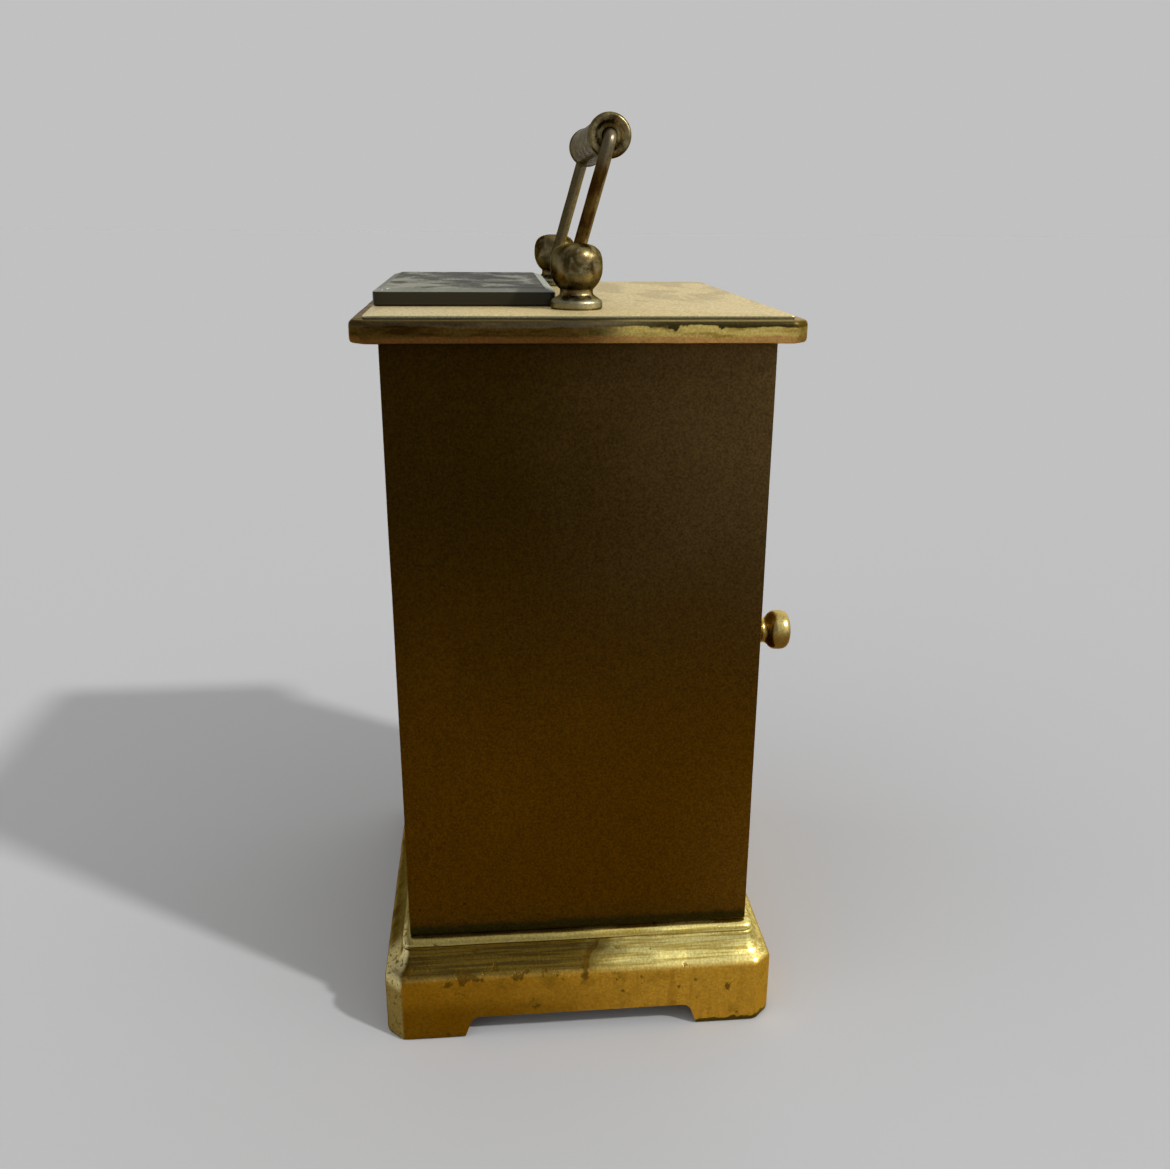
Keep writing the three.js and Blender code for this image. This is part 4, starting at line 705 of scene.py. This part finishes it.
def slab(low, high, edge, pitch, wave=0.0):
    """A block with rounded edges, its faces divided so that they can waver slightly."""
    def stations(a, b):
        turn = [edge * (1 - math.cos(k * math.pi / 6)) for k in range(4)]
        inner = max(1, round((b - a - 2 * edge) / pitch))
        flat = [a + edge + (b - a - 2 * edge) * k / inner for k in range(1, inner)]
        return [a + t for t in turn] + flat + [b - t for t in reversed(turn)]
    axes = [stations(a, b) for a, b in zip(low, high)]
    inner_low = Vector(low) + Vector((edge,) * 3)
    inner_high = Vector(high) - Vector((edge,) * 3)
    mesh, known = bmesh.new(), {}

    def vertex(i, j, k):
        if (i, j, k) not in known:
            p = Vector((axes[0][i], axes[1][j], axes[2][k]))
            core = Vector(min(max(c, a), b) for c, a, b in zip(p, inner_low, inner_high))
            out = p - core
            p = core + out.normalized() * edge if out.length > 1e-9 else p
            known[i, j, k] = mesh.verts.new(worn(p, wave, 14))
        return known[i, j, k]

    sizes = [len(a) for a in axes]
    for axis in range(3):
        u, v = [a for a in range(3) if a != axis]
        for side in (0, sizes[axis] - 1):
            for i in range(sizes[u] - 1):
                for j in range(sizes[v] - 1):
                    corners = []
                    for di, dj in ((0, 0), (1, 0), (1, 1), (0, 1)):
                        at = [0, 0, 0]
                        at[axis], at[u], at[v] = side, i + di, j + dj
                        corners.append(vertex(*at))
                    mesh.faces.new(corners)
    return mesh


def carved(mesh, cutters):
    """A mesh with others cut out of it."""
    def temporary(source):
        bmesh.ops.remove_doubles(source, verts=source.verts, dist=1e-4)
        bmesh.ops.recalc_face_normals(source, faces=source.faces)
        data = bpy.data.meshes.new("temporary")
        source.to_mesh(data)
        source.free()
        return placed("temporary", data)
    target = temporary(mesh)
    tools = [temporary(cutter) for cutter in cutters]
    for tool in tools:
        cut = target.modifiers.new("cut", "BOOLEAN")
        cut.operation = "DIFFERENCE"
        cut.solver = "EXACT"
        cut.object = tool
    solved = target.evaluated_get(bpy.context.evaluated_depsgraph_get())
    result = bmesh.new()
    result.from_mesh(solved.to_mesh())
    for obj in (target, *tools):
        data = obj.data
        bpy.data.objects.remove(obj)
        bpy.data.meshes.remove(data)
    return result


def block(low, high):
    mesh = bmesh.new()
    bmesh.ops.create_cube(mesh, size=1)
    size, centre = Vector(high) - Vector(low), (Vector(high) + Vector(low)) / 2
    bmesh.ops.scale(mesh, vec=size, verts=mesh.verts)
    bmesh.ops.translate(mesh, vec=centre, verts=mesh.verts)
    return mesh


# ---------------------------------------------------------------- case

CASE_X, CASE_Y = box("side_panel_right")[1].xy


def moulded(profile, cant, corner, bottom, wear):
    """Rings of a moulding round the case from (height, overhang) points, mitred at canted corners."""
    widest = max(p.y for p in profile)
    rings = []
    for p in profile:
        inset = widest - p.y
        outline = canted(CASE_X + p.y, CASE_Y + p.y, cant - (2 - math.sqrt(2)) * inset, corner)
        rings.append([worn(Vector((u, v, bottom + p.x)), wear) for u, v in outline])
    return rings


def arch(axis, half, height):
    """A cutter for the gap between two feet: flared sides and rounded upper corners."""
    flare, reach, below = 1.4, 60, 1.0
    slope = flare / height
    foot = half + flare + slope * below
    corners = [(-foot, -below), (foot, -below), (half, height, 1.3), (-half, height, 1.3)]
    outline = rounded(corners, closed=True, steps=5)
    return joined_rings([[Vector((w, u, v) if axis == "x" else (u, w, v)) for u, v in outline]
                         for w in (-reach, reach)])


def add_base():
    low, high = box("base")
    wide = high.x - CASE_X
    cove_low, cove_top = 12.1, 15.4  # heights
    wide_low, wide_top = wide - 1.05, 1.4  # overhangs
    cove = []
    for k in range(9):
        sweep = math.sin(k / 8 * math.pi / 2) ** 0.75
        cove.append((cove_low + (cove_top - cove_low) * k / 8, wide_low + (wide_top - wide_low) * sweep))
    profile = rounded([
        (0.0, wide - 0.5), (0.15, wide - 0.12, 0.12), (0.6, wide, 0.4), (10.9, wide, 0.9),
        (11.75, wide - 0.5, 0.5), *cove, (15.55, 1.14, 0.1), (15.75, 1.1, 0.1), (15.92, 1.34, 0.1),
        (16.2, 1.42, 0.25), (16.75, 1.2, 0.4), (high.z - 0.1, 0.7, 0.3), (high.z, 0.3),
    ], steps=3)
    skin = joined_rings(moulded(profile, 2.75, 0.8, low.z, 0.06))
    wall, hollow_top = 4.9, 9.0
    opening_x, opening_y = 26, 17.5  # half-widths of the hole in the top
    gap_x, gap_y, gap_height = 25.5, 18.1, 3.95  # half-widths of the gaps between the feet
    hollow = block((low.x + wall, low.y + wall, -1), (high.x - wall, high.y - wall, hollow_top))
    opening = block((-opening_x, -opening_y, 1), (opening_x, opening_y, high.z + 1))
    floor_low, floor_high = box("floor_plate")
    seat = block((floor_low.x, floor_low.y, floor_low.z - 0.05), (floor_high.x, floor_high.y, high.z + 1))
    cutters = [hollow, opening, seat, arch("x", gap_y, gap_height), arch("y", gap_x, gap_height)]
    piece("base_moulding", carved(skin, cutters), "case", "base_brass", ["base"], sharp=28)


def add_panels():
    for side in ("left", "right"):
        low, high = box(f"side_panel_{side}")
        mesh = slab(low, high, 0.3, 4, wave=0.05)
        piece(f"panel_{side}", mesh, "case", "panel_brass", [f"side_panel_{side}"])


WELL_X, WELL_FRONT, WELL_REAR = 18, -26.2, -6.2


def round_well(outer, heights):
    """Rings round the well in the top, each with a point for every point of an outer ring."""
    outline = [(min(max(p.x, -WELL_X), WELL_X), min(max(p.y, WELL_FRONT), WELL_REAR)) for p in outer]
    return [[Vector((u, v, z)) for u, v in outline] for z in heights]


def add_cornice():
    low, high = box("cornice")
    wide = high.x - CASE_X
    height = high.z - low.z
    profile = rounded([
        (0.0, wide - 0.6), (0.1, wide - 0.2, 0.15), (0.5, wide, 0.35), (height - 0.55, wide - 0.03, 0.35),
        (height - 0.12, wide - 0.3, 0.25), (height, wide - 0.7),
    ], steps=3)
    rings = moulded(profile, 2.0, 0.6, low.z, 0.05)
    mesh = joined_rings(rings + round_well(rings[0], (high.z, low.z)), loop=True)
    piece("cornice_moulding", mesh, "case", "cornice_brass", ["cornice"], sharp=28)


def add_cover():
    """The thin plate on the cornice: a ring of metal round the well, with softened edges."""
    low, high = box("cover_plate")
    thick = high.z - low.z
    turn = 0.18
    levels = [(0, 0.1), (0.1, 0.02), (thick - turn, 0), (thick - 0.06, 0.06), (thick, turn)]

    def waved(u, v, z):
        return Vector((u, v, z)) + Vector((0, 0, 0.03 * noise.noise(Vector((u, v, 0)) / 9)))
    rings = [[waved(u, v, low.z + height) for u, v in rectangle(low, high, inset, 0.6)]
             for height, inset in levels]
    mesh = joined_rings(rings + round_well(rings[0], (high.z, low.z)), loop=True)
    piece("cover_sheet", mesh, "case", "cover_brass", ["cover_plate"])


def add_top_glass():
    low, high = box("top_glass")
    thick = high.z - low.z
    bevel, edge = 1.5, 2.0
    levels = [
        (0, 0.35), (0.08, 0.1), (0.25, 0), (edge - 0.1, 0), (edge + 0.02, 0.05), (edge + 0.08, 0.18),
        (thick - 0.06, bevel - 0.14), (thick - 0.01, bevel + 0.02), (thick, bevel + 0.2),
    ]
    rings = [[Vector((u, v, low.z + height)) for u, v in rectangle(low, high, inset, 0.9)]
             for height, inset in levels]
    piece("top_pane", joined_rings(rings), "case", "top_glass", ["top_glass"], sharp=24)


def framed(outer_low, outer_high, inner_low, inner_high, section):
    """A frame in the x, z plane: a section of (share of the way in, y) points led round it."""
    rings = []
    for share, y in section:
        low = [a + (b - a) * share for a, b in zip(outer_low, inner_low)]
        high = [a + (b - a) * share for a, b in zip(outer_high, inner_high)]
        outline = finely([Vector((high[0], low[1])), Vector((high[0], high[1])),
                          Vector((low[0], high[1])), Vector((low[0], low[1]))])
        rings.append([Vector((u, y, v)) for u, v in outline])
    return joined_rings(rings, loop=True)


def add_front():
    low, high = box("front_frame")
    glass_low, glass_high = box("front_glass")
    face, back = low.y, high.y
    window_low, window_high = (-28, 24), (28, 106)
    section = [
        (0.0, back), (0.0, face + 0.3), (0.015, face + 0.08), (0.05, face), (0.78, face), (0.82, face + 0.05),
        (0.90, face + 0.35), (0.98, face + 0.5), (1.0, face + 0.6), (1.0, face + 0.8), (0.85, face + 0.8),
        (0.85, back),
    ]
    mesh = framed((low.x, low.z), (high.x, high.z), window_low, window_high, section)
    piece("front_surround", mesh, "case", "base_brass", ["front_frame"])

    levels = [(glass_high.y, 0), (glass_high.y - 0.8, 0), (glass_low.y + 0.06, 1.75), (glass_low.y, 1.95)]
    rings = [[Vector((u, y, v)) for u, v in rectangle(glass_low.xz, glass_high.xz, inset, 0.3)]
             for y, inset in levels]
    piece("front_pane", joined_rings(rings), "case", "front_glass", ["front_glass"], sharp=20)


def add_door():
    """The rear door, round along its hinge, and its mushroom knob."""
    low, high = box("rear_door")
    hinge = Vector(JOINT["door_swing"]["pos_m"]) / MM
    pitch = 6
    steps = round((high.z - low.z) / pitch)
    ends = [(0, 0.3), (0.1, 0.1), (0.3, 0)]
    levels = [(low.z + up, inset) for up, inset in ends]
    levels += [(low.z + (high.z - low.z) * k / steps, 0) for k in range(1, steps)]
    levels += [(high.z - up, inset) for up, inset in reversed(ends)]
    rings = []
    for z, inset in levels:
        y0, y1, x1 = low.y + inset, high.y - inset, high.x - inset
        radius = (y1 - y0) / 2
        outline = rounded([(hinge.x, y0), (x1, y0, 0.3), (x1, y1, 0.3), (hinge.x, y1)])
        for k in range(1, 12):
            angle = math.pi * (0.5 + k / 12)
            outline.append(Vector((hinge.x + radius * math.cos(angle), hinge.y + radius * math.sin(angle))))
        rings.append([worn(Vector((u, v, z)), 0.03, 14) for u, v in finely(outline)])
    piece("door_leaf", joined_rings(rings), "rear_door", "panel_brass", ["rear_door"])

    low, high = box("door_knob")
    centre = (low + high) / 2
    door_face = box("rear_door")[1].y
    radius, reach = (high.x - low.x) / 2, high.y - door_face
    foot = 0.05
    profile = rounded([
        (0, -1.5), (1.1, -1.5), (1.1, foot), (2.5, foot, 0.1), (2.4, 0.45, 0.2), (1.95, 0.9, 0.4),
        (1.9, 1.4, 0.4), (2.3, 1.95, 0.3), (radius - 0.5, 2.2, 0.3), (radius - 0.12, 2.8, 0.35),
        (radius - 0.08, reach - 1.15, 0.5), (radius - 0.4, reach - 0.5, 0.3),
        (radius - 1.0, reach - 0.1, 0.5), (0, reach),
    ], steps=4)
    mesh = turned(profile, "y", (centre.x, door_face, centre.z), 80)
    piece("knob_turned", mesh, "rear_door", "knob_brass", ["door_knob"], sharp=50)


# ---------------------------------------------------------------- handle

def post_profile(ball, crown, foot):
    """A flange, a coved waist and a ball whose upper half is fuller and flattened."""
    waist = 2.4
    flange = rounded([
        (0, foot), (ball - 0.15, foot, 0.05), (ball, foot + 0.2, 0.15), (ball, foot + 0.98, 0.2),
        (ball - 0.22, foot + 1.25, 0.2), (ball - 0.7, foot + 1.55, 0.35), (ball - 1.2, foot + 1.85, 0.3),
        (waist + 0.05, foot + 2.05, 0.15), (waist, foot + 2.3, 0.1),
    ], steps=4)
    start = -math.acos(waist / ball)
    lower = [(ball * math.cos(a), PIVOT_Z + ball * math.sin(a))
             for a in (start - start * k / 14 for k in range(14))]
    upper = [(ball * math.cos(a) ** (2 / 3), PIVOT_Z + crown * math.sin(a) ** (2 / 3))
             for a in (math.pi / 2 * (k / 18) ** 1.4 for k in range(18))]
    return [*flange, *lower, *upper, (0, PIVOT_Z + crown)]


def add_posts():
    foot = box("cover_plate")[1].z + 0.05
    for side in ("left", "right"):
        low, high = box(f"handle_post_{side}")
        ball = (high.y - low.y) / 2
        profile = post_profile(ball, high.z - PIVOT_Z, foot)
        mesh = turned(profile, "z", ((low.x + high.x) / 2, 0, 0), 96)
        piece(f"post_{side}", mesh, "case", "handle_brass", [f"handle_post_{side}"], sharp=50)


def add_bail():
    high = box("handle_bail")[1]
    wire, bend = 1.0, 1.7
    leg, stub = 21.1, high.x
    corners = [
        (stub, 0), (leg, 0, bend), (leg, REACH, bend), (-leg, REACH, bend), (-leg, 0, bend), (-stub, 0),
    ]
    route = rounded(corners, steps=8)
    turn = Matrix.Rotation(-LEAN, 4, "X")
    segments, rings, step_along = 24, [], 1.2
    path = []
    for a, b in zip(route, route[1:]):
        count = max(1, round((b - a).length / step_along))
        path += [a.lerp(b, k / count) for k in range(count)]
    path.append(route[-1])
    for k, p in enumerate(path):
        ahead = (path[min(k + 1, len(path) - 1)] - path[max(k - 1, 0)]).normalized()
        side = Vector((-ahead.y, ahead.x))
        ring = []
        for s in range(segments):
            angle = 2 * math.pi * s / segments
            across, out = wire * math.cos(angle), wire * math.sin(angle)
            point = Vector((p.x + side.x * across, out, p.y + side.y * across))
            ring.append(turn @ worn(point, 0.03, 3) + Vector((0, 0, PIVOT_Z)))
        rings.append(ring)
    mesh = joined_rings(rings)
    piece("bail_wire", mesh, "handle", "handle_brass", ["handle_bail"], "bail_brass")


def add_grip():
    half = box("handle_grip")[1].x
    disc, bore = 3.2, 1.16
    end = [
        (bore, half - 0.5, 0.1), (1.75, half - 0.5, 0.25), (2.15, half - 0.1, 0.15), (disc - 0.35, half, 0.2),
        (disc, half - 0.35, 0.3), (disc, half - 1.0, 0.15), (disc - 0.3, half - 1.12, 0.1),
        (2.72, half - 1.25, 0.1), (2.72, half - 1.5, 0.1), (3.0, half - 1.75, 0.2), (3.05, half - 3.5, 1.0),
        (2.9, half * 0.55, 3.0),
    ]
    far_end = [(r, -x, cut) for r, x, cut in end]
    profile = [*far_end, (2.85, 0), *reversed(end)]
    mesh = turned(rounded(profile, steps=4), "x", GRIP_AT, 96, loop=True)
    piece("grip_sleeve", mesh, "grip", "handle_brass", ["handle_grip"], sharp=50)


# ---------------------------------------------------------------- dial and hands

DIAL_Z = JOINT["centre_turn"]["pos_m"][2] / MM


def on_dial(outline, degrees, y):
    """A ring of (across, out) points on the dial, turned clockwise from twelve."""
    turn = math.radians(degrees)
    c, s = math.cos(turn), math.sin(turn)
    return [Vector((u * c + v * s, y, DIAL_Z - u * s + v * c)) for u, v in outline]


def stroke(start, end, width):
    """A straight stroke as a four-sided outline."""
    (x0, y0), (x1, y1) = start, end
    side = Vector((y0 - y1, x1 - x0)).normalized() * width / 2
    near = [(x0 + side.x, y0 + side.y), (x0 - side.x, y0 - side.y)]
    return near + [(x1 - side.x, y1 - side.y), (x1 + side.x, y1 + side.y)]


def numeral(text, foot, height):
    """The strokes of a Roman numeral that stands on a circle."""
    thick, thin, serif = 0.62, 0.2, 0.16
    widths = {"I": 1.0, "V": 2.2, "X": 2.3}
    total = sum(widths[letter] for letter in text)
    at, strokes = -total / 2, []
    top = foot + height
    for letter in text:
        wide = widths[letter]
        mid, left, right = at + wide / 2, at + 0.35, at + wide - 0.35
        if letter == "I":
            strokes.append(stroke((mid, foot), (mid, top), thick))
        if letter == "V":
            strokes += [stroke((left, top), (mid, foot), thick), stroke((right, top), (mid, foot), thin)]
        if letter == "X":
            strokes += [stroke((left, top), (right, foot), thick), stroke((right, top), (left, foot), thin)]
        at += wide
    for level in (foot, top):
        strokes.append(stroke((-total / 2 + 0.1, level), (total / 2 - 0.1, level), serif))
    return strokes


def add_dial():
    low, high = box("dial")
    radius, hole = (high.x - low.x) / 2, 2.3
    face = low.y
    profile = rounded([
        (hole, high.y), (radius, high.y), (radius, face + 0.25, 0.2), (radius - 0.6, face + 0.02, 0.4),
        (hole + 0.5, face, 0.3), (hole, face + 0.2),
    ], steps=4)
    mesh = turned(profile, "y", (0, 0, DIAL_Z), 128, loop=True)
    piece("dial_plate", mesh, "case", "dial_enamel", ["dial"])

    front, back = face - 0.04, face + 0.1
    marks = bmesh.new()

    def mark(outline, degrees):
        joined_rings([on_dial(outline, degrees, y) for y in (back, front)], mesh=marks)
    for hour, text in enumerate("XII I II III IIII V VI VII VIII IX X XI".split()):
        for outline in numeral(text, 12.6, 5.0):
            mark(outline, 30 * hour)
    inner, outer = 18.6, 20.2
    for minute in range(60):
        width = 0.5 if minute % 5 == 0 else 0.2
        mark(stroke((0, inner), (0, outer), width), 6 * minute)
    for circle_radius in (inner, outer):
        band = 0.09
        section = [(circle_radius - band, back), (circle_radius + band, back),
                   (circle_radius + band, front), (circle_radius - band, front)]
        turned(section, "y", (0, 0, DIAL_Z), 128, loop=True, mesh=marks)
    piece("dial_numerals", marks, "case", "dial_enamel", finish="numeral_enamel")


def arc(radius, start, end, steps):
    """Points on a circle, from one angle in degrees to another."""
    angles = [math.radians(start + (end - start) * k / steps) for k in range(steps + 1)]
    return [(radius * math.cos(angle), radius * math.sin(angle)) for angle in angles]


def hand(length, hub, blade, tail):
    """The outline of a spade hand: a boss, a slim stem, a leaf and a point."""
    neck = 0.22
    half = [
        (neck + 0.12, hub * 0.96), (neck, length * 0.5), (neck + 0.1, length * 0.56),
        (blade * 0.75, length * 0.60), (blade, length * 0.66), (blade * 0.85, length * 0.73),
        (neck + 0.15, length * 0.82), (0.16, length * 0.9),
    ]
    outline = [(0, length), *reversed(half), *arc(hub, 80, -80 if tail else -90, 18)]
    if tail:
        outline += [(0.42, -hub - tail), (0, -hub - tail - 0.3)]
    mirrored = [(-u, v) for u, v in reversed(outline) if abs(u) > 1e-9]
    return outline + mirrored


def add_hand(name, node, body, degrees, bore, **shape):
    low, high = box(node)
    front, back = low.y, high.y
    outline = hand(**shape)
    inset = [(u * 0.82, v * 0.985) for u, v in outline]
    levels = [(outline, back), (outline, front + 0.18), (inset, front)]
    mesh = joined_rings([on_dial(points, degrees, y) for points, y in levels])
    cut = [(0, back + 1), (bore, back + 1), (bore, front - 1), (0, front - 1)]
    hole = turned(cut, "y", (0, 0, DIAL_Z), 48)
    piece(name, carved(mesh, [hole]), body, "blued_steel", [node])


# ---------------------------------------------------------------- other CAD nodes

def soft_edges():
    """A node group that shades a mesh smooth but for its sharp edges."""
    group = bpy.data.node_groups.new("soft_edges", "GeometryNodeTree")
    group.interface.new_socket("Geometry", in_out="INPUT", socket_type="NodeSocketGeometry")
    group.interface.new_socket("Geometry", in_out="OUTPUT", socket_type="NodeSocketGeometry")
    new, link = group.nodes.new, group.links.new
    source, result = new("NodeGroupInput"), new("NodeGroupOutput")
    faces, edges = new("GeometryNodeSetShadeSmooth"), new("GeometryNodeSetShadeSmooth")
    angle, sharp = new("GeometryNodeInputMeshEdgeAngle"), new("FunctionNodeCompare")
    edges.domain = "EDGE"
    sharp.operation = "GREATER_THAN"
    sharp.inputs["B"].default_value = math.radians(38)
    link(source.outputs[0], faces.inputs["Geometry"])
    link(faces.outputs[0], edges.inputs["Geometry"])
    link(angle.outputs["Unsigned Angle"], sharp.inputs["A"])
    link(sharp.outputs[0], edges.inputs["Selection"])
    edges.inputs["Shade Smooth"].default_value = False
    link(edges.outputs[0], result.inputs[0])
    return group


def finish_cad_nodes():
    """Gives the CAD nodes that still show their finish, broken edges and smooth round faces."""
    group = soft_edges()
    for name, node in frame["nodes"].items():
        if node.hide_render:
            continue
        node.data.materials.clear()
        node.data.materials.append(FINISHES[SLOT_OF[name]])
        weld = node.modifiers.new("weld", "WELD")
        weld.merge_threshold = 1e-6
        broken = node.modifiers.new("broken_edges", "BEVEL")
        broken.width = 0.08 * MM
        broken.segments = 2
        broken.limit_method = "ANGLE"
        broken.angle_limit = math.radians(40)
        shading = node.modifiers.new("soft_edges", "NODES")
        shading.node_group = group


add_camera()
add_world()
add_light()
add_floor()
add_base()
add_panels()
add_cornice()
add_cover()
add_top_glass()
add_front()
add_door()
add_posts()
add_bail()
add_grip()
add_dial()
add_hand("hour_pointer", "hour_hand", "hour_pipe", 304.5,
         length=12.5, hub=2.8, bore=1.85, blade=1.6, tail=0)
add_hand("minute_pointer", "minute_hand", "centre_arbor", 54,
         length=18.5, hub=2.0, bore=1.2, blade=1.1, tail=1.2)
finish_cad_nodes()
